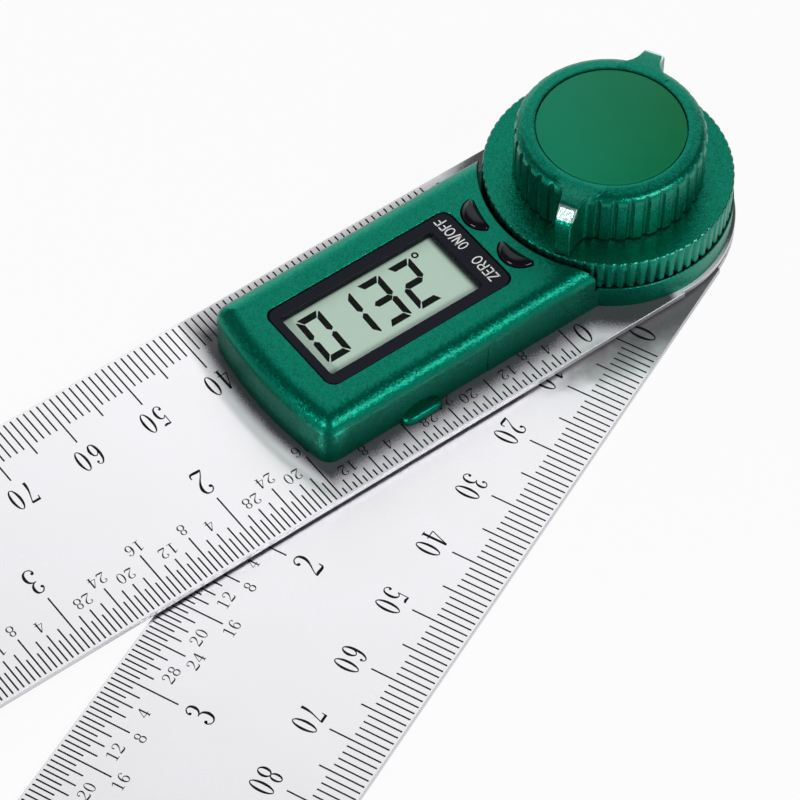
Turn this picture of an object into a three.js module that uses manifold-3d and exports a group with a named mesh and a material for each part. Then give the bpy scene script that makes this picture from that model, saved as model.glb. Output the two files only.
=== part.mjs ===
// A digital angle finder: two steel rules turn about one pivot, with a display housing on the upper
// rule and a winged lock knob over the pivot. Millimetres, +Z up. The origin is on the pivot axis at
// the lower rule's underside, and +X runs along the upper rule to its free end.
import * as THREE from "three";
import { mergeVertices } from "three/addons/utils/BufferGeometryUtils.js";
import Module from "manifold-3d";

const wasm = await Module();
wasm.setup();

// Rules
const RULE_HALF_WIDTH = 17.5;
const RULE_THICKNESS = 0.9;
const RULE_GAP = 0.4;
const RULE_END = 226;
const RULE_CORNER_RADIUS = 1.5;
const PIVOT_END_RADIUS = 17.2;
const PIVOT_END_STEP = 0.7;
const ANGLE_BETWEEN_RULES = 23.21;

// The deck is the upper rule's top face. Heights named below are above it.
const UPPER_RULE_LOW = RULE_THICKNESS + RULE_GAP;
const DECK = UPPER_RULE_LOW + RULE_THICKNESS;

// Hub, about the pivot axis
const HUB_RADIUS = 6;
const HUB_FLAT = 5.2;
const HUB_FLAT_LOW = 1.2;
const HUB_SHOULDER = 6.15;
const HUB_FLANGE_RADIUS = 8;
const HUB_FLANGE_THICKNESS = 0.45;
const STUD_RADIUS = 3.5;
const STUD_TOP = 13.6;
const RUNNING_GAP = 0.1;

// Housing
const CASE_HALF_WIDTH = 12.45;
const CASE_END_RADIUS = 55.9;
const CASE_HEIGHT = 7.6;
const CASE_CORNER_RADIUS = 2.1;
const CASE_FILLET = 2;
const CASE_WALL = 1.6;
const CASE_ROOF_LOW = 6.3;
const WHEEL_ARC_RADIUS = 17.1;
const CAVITY_ARC_RADIUS = 18.3;
const BASE_RING_RADIUS = 16.75;
const BASE_RING_BORE = 15.2;
const BASE_RING_HEIGHT = 3.5;
const CASE_SCREWS = [[23, 9.1], [23, -9.1], [53, 8.7], [53, -8.7]];
const BOSS_RADIUS = 1.7;
const BOSS_HOLE_RADIUS = 0.95;
const BOSS_HOLE_TOP = 5.6;
const BOARD_SCREWS = [[27, 9.3], [27, -9.3]];
const POST_RADIUS = 1.2;
const POST_HOLE_RADIUS = 0.75;

// Screws: radius of head and shank, and the room left for each
const COUNTERSINK_RADIUS = 1.95;
const COUNTERSINK_DEPTH = 0.85;
const CASE_SCREW_HEAD_RADIUS = 1.6;
const CASE_SCREW_RADIUS = 0.7;
const CASE_SCREW_HOLE_RADIUS = 0.9;
const CASE_SCREW_LENGTH = 5.4;
const BOARD_SCREW_HEAD_RADIUS = 1.3;
const BOARD_SCREW_HEAD_LOW = 3.4;
const BOARD_SCREW_RADIUS = 0.55;
const BOARD_SCREW_TOP = 6;

// Display
const BEZEL_NEAR = 21.2;
const BEZEL_FAR = 50.15;
const BEZEL_HALF_WIDTH = 7.25;
const BEZEL_LOW = 6.45;
const BEZEL_TOP = 7.5;
const BEZEL_CORNER_RADIUS = 1.5;
const WINDOW_NEAR = 24.9;
const WINDOW_FAR = 48.9;
const WINDOW_HALF_WIDTH = 5.55;
const WINDOW_LOW = 6.5;
const WINDOW_TOP = 7.15;
const SEAT_GAP = 0.15;

// Keys: half-moons whose flat side follows an arc about the pivot
const KEY_ARC_RADIUS = 18.6;
const KEY_BULGE_RADIUS = 20.85;
const KEY_MIDDLE = 12.4;
const KEY_HALF_ANGLE = 8.7;
const KEY_TOP = 8.2;
const KEY_DOME = 0.55;
const KEY_FLANGE_LOW = 5.75;
const KEY_FLANGE_TOP = 6.2;
const KEY_FLANGE_WIDTH = 0.5;
const KEY_FLANGE_INNER_WIDTH = 0.2;
const KEY_BULGE_TRIM = 7;
const KEY_ARC_TRIM = 1.2;

// Electronics
const BOARD_LOW = 4.2;
const BOARD_THICKNESS = 0.6;
const BOARD_HALF_WIDTH = 10.5;
const BOARD_FAR = 50.9;
const BOARD_TOP = BOARD_LOW + BOARD_THICKNESS;
const BOARD_PLAY = 0.05;
const PANEL = { near: 22.3, far: 49.3, halfWidth: 6.4, low: 5.55, high: 6.4 };
const CONNECTOR = { near: 23.5, far: 48.5, left: -6.2, right: -4.6, high: 5.5 };
const CHIP = { near: 21.8, far: 26.3, halfWidth: 2.3, low: 3.3 };
const DOME_PLACE_RADIUS = 19.9;
const DOME_RADIUS = 1.3;
const DOME_RISE = 0.3;
const STATOR = { inner: 7, outer: 14.7, low: 0.3, high: 0.9 };
const ROTOR = { radius: 14.4, low: 1.4, high: 2 };
const RIBBON = {
  near: 12.8, climb: 18.9, landing: 19.5, far: 20.9, width: 4.6, low: 0.95, thickness: 0.15,
};
const STRIP = { reach: 10.75, foot: 9, low: 0.8, width: 4, thickness: 0.2 };
const TONGUE = { near: 35, far: 45, halfWidth: 1.5, low: 3.98 };

// Battery tray
const TRAY_MIDDLE = 40.05;
const TRAY_HALF_WIDTH = 10.8;
const TRAY_LOW = 0.15;
const TRAY_FLOOR = 0.5;
const TRAY_RIM_TOP = 3.6;
const TRAY_INNER_END = 9.6;
const DOOR_TOP = 4.75;
const DOOR_INNER = 10.75;
const CELL_RADIUS = 10;
const CELL_HEIGHT = 3.2;
const LIP_HALF_WIDTH = 3.05;
const LIP_OUT = 13.85;
const LIP_TOP = 2.2;
const LIP_CORNER_RADIUS = 0.7;
const SCOOP_WIDTH = 1.15;
const SCOOP_DEPTH = 1.5;

// Serrated wheel
const WHEEL_RADIUS = 16.6;
const WHEEL_LOW = 3.55;
const WHEEL_TOP = 8.05;
const WHEEL_LEDGE_TOP = 3.95;
const WHEEL_TEETH = 74;
const TOOTH_TIP_RADIUS = 16.5;
const TOOTH_DEPTH = 0.45;
const WHEEL_RIM_INNER = 14.9;
const WHEEL_WEB_LOW = 5.6;
const WHEEL_BOSS_RADIUS = 8.8;
const WHEEL_BOSS_LOW = 4;
const NUT_SEAT_RADIUS = 8.2;
const NUT_SEAT_LOW = 6.2;
const WASHER = { inner: 3.9, outer: 7.6, low: 6.45, high: 6.7, wave: 0.12, waves: 3 };
const NUT_RADIUS = 5.75;
const NUT_LOW = 6.95;
const NUT_TOP = 8;
const BLADE_WASHER_RADIUS = 13;
const BLADE_WASHER_PLAY = 0.05;

// Lock knob
const KNOB_RADIUS = 12.5;
const KNOB_LOW = 8.3;
const KNOB_TOP = 16.2;
const KNOB_FILLET = 1.35;
const KNOB_FLUTES = 36;
const FLUTE_RADIUS = 0.4;
const FLUTE_TOP = 15;
const LABEL_RECESS_RADIUS = 9.95;
const LABEL_RADIUS = 9.8;
const LABEL_RISE = 0.6;
const WING_AZIMUTH = 29;
const WING_TIP_RADIUS = 16.3;
const WING_HALF_WIDTH = 1.15;
const WING_TIP_CORNER = 0.5;
const WING_SIDE = [[11.5, 2.45], [13.2, 1.3], [15.2, WING_HALF_WIDTH]];
const WING_BACK = [[15.85, 13.9], [15.5, 14.8], [14.8, 15.6], [13.6, KNOB_TOP]];
const SOCKET_RADIUS = 5.6;
const SOCKET_TOP = 14.1;
const LABEL_RECESS_FLOOR = 15.4;
const INSERT_RADIUS = 5.5;
const INSERT_LOW = 8.2;
const INSERT_TOP = 13.9;

// How far a cutting body runs past the face that it cuts, and how many sides round bodies have
const PAST = 1;
const VERY_FINE = 96;
const FINE = 72;
const MEDIUM = 48;
const COARSE = 32;
const SMALL = 16;
const TINY = 12;

// A closed geometry as a solid that can be joined and cut.
function solidOf(geometry) {
  const flat = geometry.index ? geometry.toNonIndexed() : geometry;
  const bare = new THREE.BufferGeometry();
  bare.setAttribute("position", flat.getAttribute("position"));
  const merged = mergeVertices(bare, 1e-4);
  return new wasm.Manifold(
    new wasm.Mesh({
      numProp: 3,
      vertProperties: merged.getAttribute("position").array,
      triVerts: new Uint32Array(merged.index.array),
    }),
  );
}

function geometryOf(solid) {
  const mesh = solid.getMesh();
  const geometry = new THREE.BufferGeometry();
  geometry.setAttribute("position", new THREE.BufferAttribute(mesh.vertProperties, 3));
  geometry.setIndex(new THREE.BufferAttribute(mesh.triVerts, 1));
  geometry.computeVertexNormals();
  return geometry;
}

const radians = THREE.MathUtils.degToRad;

function polar(radius, degrees) {
  return new THREE.Vector2(radius * Math.cos(radians(degrees)), radius * Math.sin(radians(degrees)));
}

// Points along a round arc, both ends included.
function arc(centre, radius, from, to, steps) {
  const points = [];
  for (let i = 0; i <= steps; i += 1) {
    points.push(polar(radius, from + ((to - from) * i) / steps).add(centre));
  }
  return points;
}

function at(x, y) {
  return new THREE.Vector2(x, y);
}

function slab(points, low, high) {
  const shape = new THREE.Shape(points);
  return new THREE.ExtrudeGeometry(shape, { depth: high - low, bevelEnabled: false })
    .translate(0, 0, low);
}

function block(x0, x1, y0, y1, z0, z1) {
  return new THREE.BoxGeometry(x1 - x0, y1 - y0, z1 - z0)
    .translate((x0 + x1) / 2, (y0 + y1) / 2, (z0 + z1) / 2);
}

function rod(x, y, radius, low, high, sides = MEDIUM) {
  return new THREE.CylinderGeometry(radius, radius, high - low, sides)
    .rotateX(Math.PI / 2)
    .translate(x, y, (low + high) / 2);
}

// A body of revolution about Z. The profile lists radius and height, going up its outer side.
function turned(profile, sides = MEDIUM) {
  const points = profile.map(([radius, height]) => at(radius, height));
  return new THREE.LatheGeometry(points, sides).rotateX(Math.PI / 2);
}

function ring(inner, outer, low, high, sides = MEDIUM) {
  return turned([[inner, low], [outer, low], [outer, high], [inner, high], [inner, low]], sides);
}

// A closed body through copies of one outline, each scaled about a centre and set at its height.
function layered(points, centre, layers) {
  const rings = layers.map(([scale, height]) => points.map((point) => {
    const place = point.clone().sub(centre).multiplyScalar(scale).add(centre);
    return [place.x, place.y, height];
  }));
  const lowMiddle = [centre.x, centre.y, layers[0][1]];
  const highMiddle = [centre.x, centre.y, layers[layers.length - 1][1]];
  const corners = [];
  points.forEach((_, i) => {
    const j = (i + 1) % points.length;
    corners.push(rings[0][j], rings[0][i], lowMiddle);
    corners.push(rings[rings.length - 1][i], rings[rings.length - 1][j], highMiddle);
    for (let k = 1; k < rings.length; k += 1) {
      corners.push(rings[k - 1][i], rings[k - 1][j], rings[k][j]);
      corners.push(rings[k - 1][i], rings[k][j], rings[k][i]);
    }
  });
  return new THREE.BufferGeometry()
    .setAttribute("position", new THREE.Float32BufferAttribute(corners.flat(), 3));
}

function roundedBox(x0, x1, halfWidth, radius, low, high) {
  const corner = (x, y, from) => arc(at(x, y), radius, from, from + 90, 5);
  return slab(
    [
      ...corner(x1 - radius, halfWidth - radius, 0),
      ...corner(x0 + radius, halfWidth - radius, 90),
      ...corner(x0 + radius, radius - halfWidth, 180),
      ...corner(x1 - radius, radius - halfWidth, 270),
    ],
    low,
    high,
  );
}

function cut(body, ...tools) {
  return tools.reduce((rest, tool) => rest.subtract(solidOf(tool)), body);
}

function join(body, ...others) {
  return others.reduce((whole, other) => whole.add(solidOf(other)), body);
}

function finish(color, roughness, metalness) {
  return new THREE.MeshStandardMaterial({ color, roughness, metalness });
}

const finishes = {
  steel: () => finish("#c9ccce", 0.35, 1),
  greenCase: () => finish("#0d7a62", 0.35, 0.2),
  greenLabel: () => finish("#0f7a4c", 0.2, 0),
  blackGloss: () => finish("#15151a", 0.12, 0),
  bezelBlack: () => finish("#2a2b3a", 0.3, 0),
  clear: () => finish("#dfe8e2", 0.05, 0),
  display: () => finish("#b2cbba", 0.3, 0),
  board: () => finish("#1c5a34", 0.5, 0),
  blackPlastic: () => finish("#1a1a1a", 0.5, 0),
  amberFilm: () => finish("#a8641e", 0.4, 0),
  nickel: () => finish("#b9b8b2", 0.25, 1),
  brass: () => finish("#b98f45", 0.3, 1),
  whitePlastic: () => finish("#e4e4de", 0.5, 0),
  rubber: () => finish("#c86f86", 0.8, 0),
};

function piece(parent, name, geometry, material) {
  const mesh = new THREE.Mesh(geometry, material);
  mesh.name = name;
  parent.add(mesh);
  return mesh;
}

// A bore with two flats, or the shaft that it fits.
function doubleD(radius, flat, low, high) {
  const half = (Math.acos(flat / radius) * 180) / Math.PI;
  const centre = at(0, 0);
  const side = (middle) => arc(centre, radius, middle - 90 + half, middle + 90 - half, 12);
  return slab([...side(90), ...side(270)], low, high);
}

// Rules: a square free end, and a round pivot end that is slightly narrower than the rule.
function rulePoints() {
  const stepAngle = (Math.acos(PIVOT_END_STEP / PIVOT_END_RADIUS) * 180) / Math.PI;
  const inX = RULE_END - RULE_CORNER_RADIUS;
  const inY = RULE_HALF_WIDTH - RULE_CORNER_RADIUS;
  return [
    at(PIVOT_END_STEP, -RULE_HALF_WIDTH),
    ...arc(at(inX, -inY), RULE_CORNER_RADIUS, -90, 0, 4),
    ...arc(at(inX, inY), RULE_CORNER_RADIUS, 0, 90, 4),
    at(PIVOT_END_STEP, RULE_HALF_WIDTH),
    ...arc(at(0, 0), PIVOT_END_RADIUS, stepAngle, 360 - stepAngle, 48),
  ];
}

function upperRule() {
  const bore = rod(0, 0, HUB_RADIUS + RUNNING_GAP, -PAST, RULE_THICKNESS + PAST);
  const profile = [
    [0, -0.2], [COUNTERSINK_RADIUS, -0.2], [CASE_SCREW_HOLE_RADIUS, COUNTERSINK_DEPTH],
    [CASE_SCREW_HOLE_RADIUS, RULE_THICKNESS + 0.3], [0, RULE_THICKNESS + 0.3],
  ];
  const screwHole = ([x, y]) => turned(profile, SMALL).translate(x, y, 0);
  return cut(solidOf(slab(rulePoints(), 0, RULE_THICKNESS)), bore, ...CASE_SCREWS.map(screwHole));
}

function lowerRule() {
  const bore = rod(0, 0, HUB_RADIUS + RUNNING_GAP, -PAST, RULE_THICKNESS + PAST);
  const seat = rod(0, 0, HUB_FLANGE_RADIUS + RUNNING_GAP, -PAST, HUB_FLANGE_THICKNESS);
  return cut(solidOf(slab(rulePoints(), 0, RULE_THICKNESS)), bore, seat);
}

// Housing: a filleted box whose free end is an arc about the pivot, on a round base ring.
function casePoints(wall, nearPoints) {
  const half = CASE_HALF_WIDTH - wall;
  const corner = CASE_CORNER_RADIUS - Math.min(wall, CASE_WALL);
  const end = CASE_END_RADIUS - wall;
  const cornerY = half - corner;
  const cornerX = Math.sqrt((end - corner) ** 2 - cornerY ** 2);
  const tilt = (Math.asin(cornerY / (end - corner)) * 180) / Math.PI;
  return [
    ...arc(at(cornerX, -cornerY), corner, -90, -tilt, 4),
    ...arc(at(0, 0), end, -tilt, tilt, 8).slice(1, -1),
    ...arc(at(cornerX, cornerY), corner, tilt, 90, 4),
    ...nearPoints,
  ];
}

// An arc about the pivot, from one side of a width to the other.
function nearArc(radius, half, steps) {
  const angle = (Math.asin(half / radius) * 180) / Math.PI;
  return arc(at(0, 0), radius, angle, -angle, steps);
}

function caseShell() {
  const startX = 5;
  const insideRing = [at(startX, CASE_HALF_WIDTH), at(startX, -CASE_HALF_WIDTH)];
  const cavityArc = nearArc(CAVITY_ARC_RADIUS, CASE_HALF_WIDTH - CASE_WALL, 12);
  const half = CASE_HALF_WIDTH + PAST;
  const outer = new THREE.ExtrudeGeometry(new THREE.Shape(casePoints(0, insideRing)), {
    depth: CASE_HEIGHT - CASE_FILLET,
    bevelSize: CASE_FILLET,
    bevelOffset: -CASE_FILLET,
    bevelThickness: CASE_FILLET,
    bevelSegments: 5,
  });
  const body = cut(
    solidOf(outer),
    block(0, CASE_END_RADIUS + PAST, -half, half, -CASE_FILLET - PAST, 0),
    rod(0, 0, WHEEL_ARC_RADIUS, BASE_RING_HEIGHT, CASE_HEIGHT + PAST, VERY_FINE),
  );
  return cut(
    join(body, rod(0, 0, BASE_RING_RADIUS, 0, BASE_RING_HEIGHT, VERY_FINE)),
    rod(0, 0, BASE_RING_BORE, -PAST, BASE_RING_HEIGHT + PAST),
    slab(casePoints(CASE_WALL, cavityArc), -PAST, CASE_ROOF_LOW),
  );
}

function keyPoints(middle, grow, growInner = grow) {
  const start = polar(KEY_ARC_RADIUS, middle - KEY_HALF_ANGLE);
  const end = polar(KEY_ARC_RADIUS, middle + KEY_HALF_ANGLE);
  const halfChord = start.distanceTo(end) / 2;
  const chordRadius = KEY_ARC_RADIUS * Math.cos(radians(KEY_HALF_ANGLE));
  const rise = KEY_BULGE_RADIUS - chordRadius;
  const bulge = (halfChord ** 2 + rise ** 2) / (2 * rise);
  const centre = polar(KEY_BULGE_RADIUS - bulge, middle);
  const reach = (Math.acos((chordRadius - centre.length()) / bulge) * 180) / Math.PI - KEY_BULGE_TRIM;
  const inner = KEY_HALF_ANGLE - KEY_ARC_TRIM;
  return [
    ...arc(centre, bulge + grow, middle - reach, middle + reach, 14),
    ...arc(at(0, 0), KEY_ARC_RADIUS - growInner, middle + inner, middle - inner, 6),
  ];
}

function housing() {
  const rooted = CASE_ROOF_LOW + 0.2;
  const slotTop = CASE_HEIGHT + PAST;
  const slotLow = CASE_ROOF_LOW - PAST;
  const bosses = CASE_SCREWS.map(([x, y]) => rod(x, y, BOSS_RADIUS, 0, rooted, SMALL));
  const posts = BOARD_SCREWS.map(([x, y]) => (
    rod(x, y, POST_RADIUS, BOARD_TOP + BOARD_PLAY, rooted, SMALL)
  ));
  const bossHoles = CASE_SCREWS.map(([x, y]) => (
    rod(x, y, BOSS_HOLE_RADIUS, -PAST, BOSS_HOLE_TOP, TINY)
  ));
  const postHoles = BOARD_SCREWS.map(([x, y]) => (
    rod(x, y, POST_HOLE_RADIUS, BOARD_LOW, BOARD_SCREW_TOP + 0.2, TINY)
  ));
  const roofCuts = [
    roundedBox(
      BEZEL_NEAR - SEAT_GAP, BEZEL_FAR + SEAT_GAP,
      BEZEL_HALF_WIDTH + SEAT_GAP, BEZEL_CORNER_RADIUS, slotLow, slotTop,
    ),
    slab(keyPoints(KEY_MIDDLE, SEAT_GAP), slotLow, slotTop),
    slab(keyPoints(-KEY_MIDDLE, SEAT_GAP), slotLow, slotTop),
  ];
  const trayDoorway = block(
    TRAY_MIDDLE - TRAY_HALF_WIDTH - SEAT_GAP, TRAY_MIDDLE + TRAY_HALF_WIDTH + SEAT_GAP,
    DOOR_INNER - 0.75, CASE_HALF_WIDTH + PAST, -PAST, DOOR_TOP + SEAT_GAP,
  );
  const slotHalf = RIBBON.width / 2 + 0.4;
  const ribbonSlot = block(BASE_RING_BORE - 0.7, CAVITY_ARC_RADIUS + 0.5, -slotHalf, slotHalf, -PAST, 1.5);
  return cut(
    join(caseShell(), ...bosses, ...posts),
    ...bossHoles, ...postHoles, ...roofCuts, trayDoorway, ribbonSlot,
  );
}

// Display: a black frame with a clear lens set in it, over the glass cell and its connector.
function bezel() {
  const frame = roundedBox(
    BEZEL_NEAR, BEZEL_FAR, BEZEL_HALF_WIDTH, BEZEL_CORNER_RADIUS, BEZEL_LOW, BEZEL_TOP,
  );
  const opening = roundedBox(
    WINDOW_NEAR, WINDOW_FAR, WINDOW_HALF_WIDTH, 0.5, BEZEL_LOW - PAST, BEZEL_TOP + PAST,
  );
  return cut(solidOf(frame), opening);
}

function displayWindow() {
  return roundedBox(
    WINDOW_NEAR + SEAT_GAP, WINDOW_FAR - SEAT_GAP,
    WINDOW_HALF_WIDTH - SEAT_GAP, 0.4, WINDOW_LOW, WINDOW_TOP,
  );
}

// Keys: a domed cap through the roof, with a flange under it that keeps the key in.
function key(middle) {
  const centre = polar((KEY_ARC_RADIUS + KEY_BULGE_RADIUS) / 2 - 0.1, middle);
  const cap = layered(keyPoints(middle, 0), centre, [
    [1, KEY_FLANGE_TOP - 0.2],
    [1, KEY_TOP - KEY_DOME],
    [0.93, KEY_TOP - 0.45 * KEY_DOME],
    [0.78, KEY_TOP - 0.15 * KEY_DOME],
    [0.45, KEY_TOP],
  ]);
  const flangePoints = keyPoints(middle, KEY_FLANGE_WIDTH, KEY_FLANGE_INNER_WIDTH);
  const flange = slab(flangePoints, KEY_FLANGE_LOW, KEY_FLANGE_TOP);
  return join(solidOf(cap), flange);
}

function mainBoard() {
  const outline = [
    at(BOARD_FAR, -BOARD_HALF_WIDTH),
    at(BOARD_FAR, BOARD_HALF_WIDTH),
    ...nearArc(CAVITY_ARC_RADIUS + 0.2, BOARD_HALF_WIDTH, 10),
  ];
  const low = BOARD_LOW - PAST;
  const high = BOARD_TOP + PAST;
  const notches = CASE_SCREWS.slice(0, 2).map(([x, y]) => (
    rod(x, y, BOSS_RADIUS + 0.3, low, high, SMALL)
  ));
  const holes = BOARD_SCREWS.map(([x, y]) => rod(x, y, POST_HOLE_RADIUS, low, high, TINY));
  return cut(solidOf(slab(outline, BOARD_LOW, BOARD_TOP)), ...notches, ...holes);
}

function snapDome(middle) {
  const place = polar(DOME_PLACE_RADIUS, middle);
  return turned([
    [0, BOARD_TOP], [DOME_RADIUS, BOARD_TOP], [0.96 * DOME_RADIUS, BOARD_TOP + 0.33 * DOME_RISE],
    [0.54 * DOME_RADIUS, BOARD_TOP + 0.87 * DOME_RISE], [0, BOARD_TOP + DOME_RISE],
  ], SMALL).translate(place.x, place.y, 0);
}

// A plate standing along X, cut to an outline of distance and height, its width centred on the XZ plane.
function standingPlate(points, width) {
  return new THREE.ExtrudeGeometry(new THREE.Shape(points), { depth: width, bevelEnabled: false })
    .rotateX(Math.PI / 2)
    .translate(0, width / 2, 0);
}

// A flat cable that leaves the ring board, climbs, and ends under the main board.
function ribbon() {
  const { near, climb, landing, far, width, low, thickness } = RIBBON;
  const high = BOARD_LOW - thickness - BOARD_PLAY;
  return standingPlate([
    at(near, low), at(climb + thickness, low), at(landing + thickness, high), at(far, high),
    at(far, high + thickness), at(landing, high + thickness),
    at(climb, low + thickness), at(near, low + thickness),
  ], width);
}

// An angle of strip: a foot under the main board, and a leg beside the cell.
function sideContact() {
  const { reach, foot, low, width, thickness } = STRIP;
  const high = BOARD_LOW - BOARD_PLAY;
  return standingPlate([
    at(-reach, low), at(thickness - reach, low), at(thickness - reach, high - thickness),
    at(-foot, high - thickness), at(-foot, high), at(-reach, high),
  ], width)
    .rotateZ(Math.PI / 2)
    .translate(TRAY_MIDDLE, 0, 0);
}

// Battery tray: a floor with a round pocket for the cell, and a door with a scooped finger lip.
function batteryTray() {
  const near = TRAY_MIDDLE - TRAY_HALF_WIDTH;
  const far = TRAY_MIDDLE + TRAY_HALF_WIDTH;
  const lipFar = TRAY_MIDDLE + LIP_HALF_WIDTH;
  const lipNear = TRAY_MIDDLE - LIP_HALF_WIDTH;
  const cornerY = LIP_OUT - LIP_CORNER_RADIUS;
  const floor = block(near, far, -TRAY_INNER_END, DOOR_INNER + 0.2, TRAY_LOW, TRAY_RIM_TOP);
  const door = block(near, far, DOOR_INNER, CASE_HALF_WIDTH, TRAY_LOW, DOOR_TOP);
  const lip = slab(
    [
      at(lipNear, CASE_HALF_WIDTH - 0.5),
      at(lipFar, CASE_HALF_WIDTH - 0.5),
      ...arc(at(lipFar - LIP_CORNER_RADIUS, cornerY), LIP_CORNER_RADIUS, 0, 90, 4),
      ...arc(at(lipNear + LIP_CORNER_RADIUS, cornerY), LIP_CORNER_RADIUS, 90, 180, 4),
    ],
    TRAY_LOW,
    LIP_TOP,
  );
  const scoop = new THREE.SphereGeometry(1, 16, 10)
    .scale(LIP_HALF_WIDTH - 0.15, SCOOP_WIDTH, SCOOP_DEPTH)
    .translate(TRAY_MIDDLE, CASE_HALF_WIDTH + 0.1, LIP_TOP + 0.1);
  const pocket = rod(
    TRAY_MIDDLE, 0, CELL_RADIUS + 0.25, TRAY_LOW + TRAY_FLOOR, TRAY_RIM_TOP + PAST,
  );
  return cut(join(solidOf(floor), door, lip), scoop, pocket);
}

function coinCell() {
  const low = TRAY_LOW + TRAY_FLOOR + 0.02;
  const top = low + CELL_HEIGHT;
  return turned([
    [0, low], [CELL_RADIUS, low], [CELL_RADIUS, top - 0.2],
    [CELL_RADIUS - 1.1, top - 0.2], [CELL_RADIUS - 1.2, top], [0, top],
  ]).translate(TRAY_MIDDLE, 0, 0);
}

function countersunkScrew() {
  return turned([
    [0, 0.05], [CASE_SCREW_HEAD_RADIUS, 0.05], [CASE_SCREW_RADIUS, 0.95],
    [CASE_SCREW_RADIUS, CASE_SCREW_LENGTH], [0, CASE_SCREW_LENGTH],
  ], TINY);
}

function boardScrew() {
  return turned([
    [0, BOARD_SCREW_HEAD_LOW], [BOARD_SCREW_HEAD_RADIUS, BOARD_SCREW_HEAD_LOW],
    [BOARD_SCREW_HEAD_RADIUS, BOARD_LOW], [BOARD_SCREW_RADIUS, BOARD_LOW],
    [BOARD_SCREW_RADIUS, BOARD_SCREW_TOP], [0, BOARD_SCREW_TOP],
  ], TINY);
}

// Hub: a flanged foot in the lower rule, a shaft with two flats, and a stud for the knob.
function pivotHub() {
  const foot = turned([
    [0, 0], [HUB_FLANGE_RADIUS, 0], [HUB_FLANGE_RADIUS, HUB_FLANGE_THICKNESS - 0.02],
    [HUB_RADIUS, HUB_FLANGE_THICKNESS - 0.02], [HUB_RADIUS, DECK + HUB_FLAT_LOW], [0, DECK + HUB_FLAT_LOW],
  ]);
  const shaft = doubleD(HUB_RADIUS, HUB_FLAT, DECK + HUB_FLAT_LOW - 0.1, DECK + HUB_SHOULDER);
  const stud = turned([
    [0, DECK + HUB_SHOULDER - 0.1], [STUD_RADIUS, DECK + HUB_SHOULDER - 0.1],
    [STUD_RADIUS, DECK + STUD_TOP], [0, DECK + STUD_TOP],
  ], COARSE);
  return join(solidOf(foot), shaft, stud);
}

function keyedBore(low, high) {
  return doubleD(HUB_RADIUS + RUNNING_GAP, HUB_FLAT + RUNNING_GAP, low, high);
}

// Wheel: teeth over a plain ledge, hollow below, with a sunk seat for the spring washer and the nut.
function serratedWheel() {
  const pitch = 360 / WHEEL_TEETH;
  const crown = [];
  for (let i = 0; i < WHEEL_TEETH; i += 1) {
    crown.push(polar(TOOTH_TIP_RADIUS, i * pitch));
    crown.push(polar(TOOTH_TIP_RADIUS, (i + 0.5) * pitch));
    crown.push(polar(TOOTH_TIP_RADIUS - TOOTH_DEPTH, (i + 0.75) * pitch));
  }
  const ledge = rod(0, 0, WHEEL_RADIUS, WHEEL_LOW, WHEEL_LEDGE_TOP, FINE);
  return cut(
    join(solidOf(slab(crown, WHEEL_LEDGE_TOP - 0.05, WHEEL_TOP)), ledge),
    ring(WHEEL_BOSS_RADIUS, WHEEL_RIM_INNER, WHEEL_LOW - PAST, WHEEL_WEB_LOW),
    rod(0, 0, WHEEL_BOSS_RADIUS + 0.05, WHEEL_LOW - PAST, WHEEL_BOSS_LOW),
    rod(0, 0, NUT_SEAT_RADIUS, NUT_SEAT_LOW, WHEEL_TOP + PAST),
    keyedBore(WHEEL_LOW - PAST, WHEEL_TOP + PAST),
  );
}

function waveWasher() {
  const washer = ring(WASHER.inner, WASHER.outer, WASHER.low, WASHER.high);
  const position = washer.getAttribute("position");
  for (let i = 0; i < position.count; i += 1) {
    const turn = Math.atan2(position.getY(i), position.getX(i));
    position.setZ(i, position.getZ(i) + WASHER.wave * Math.sin(WASHER.waves * turn));
  }
  return washer;
}

function retainingNut() {
  const hexagon = rod(0, 0, NUT_RADIUS, NUT_LOW, NUT_TOP, 6);
  const bore = rod(0, 0, STUD_RADIUS + RUNNING_GAP, NUT_LOW - PAST, NUT_TOP + PAST, COARSE);
  return cut(solidOf(hexagon), bore);
}

// Knob: a fluted drum with a recess for the disc, a socket for the brass bush, and two wings.
function wing() {
  const side = new THREE.QuadraticBezierCurve(...WING_SIDE.map(([x, y]) => at(x, y))).getPoints(6);
  const corner = WING_TIP_CORNER;
  const tip = at(WING_TIP_RADIUS - corner, 0);
  const innerX = 11;
  const plan = slab(
    [
      ...side.map((p) => at(p.x, -p.y)),
      ...arc(tip.clone().setY(corner - WING_HALF_WIDTH), corner, -90, 0, 3),
      ...arc(tip.clone().setY(WING_HALF_WIDTH - corner), corner, 0, 90, 3),
      ...side.reverse(),
    ],
    KNOB_LOW,
    KNOB_TOP,
  );
  const profile = standingPlate([
    at(innerX, KNOB_LOW - 0.5), at(WING_TIP_RADIUS + 0.05, KNOB_LOW - 0.5),
    ...WING_BACK.map(([x, y]) => at(x, y)),
    at(WING_BACK[3][0] - 0.2, KNOB_TOP + 0.5), at(innerX, KNOB_TOP + 0.5),
  ], 8);
  return solidOf(plan).intersect(solidOf(profile));
}

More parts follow.
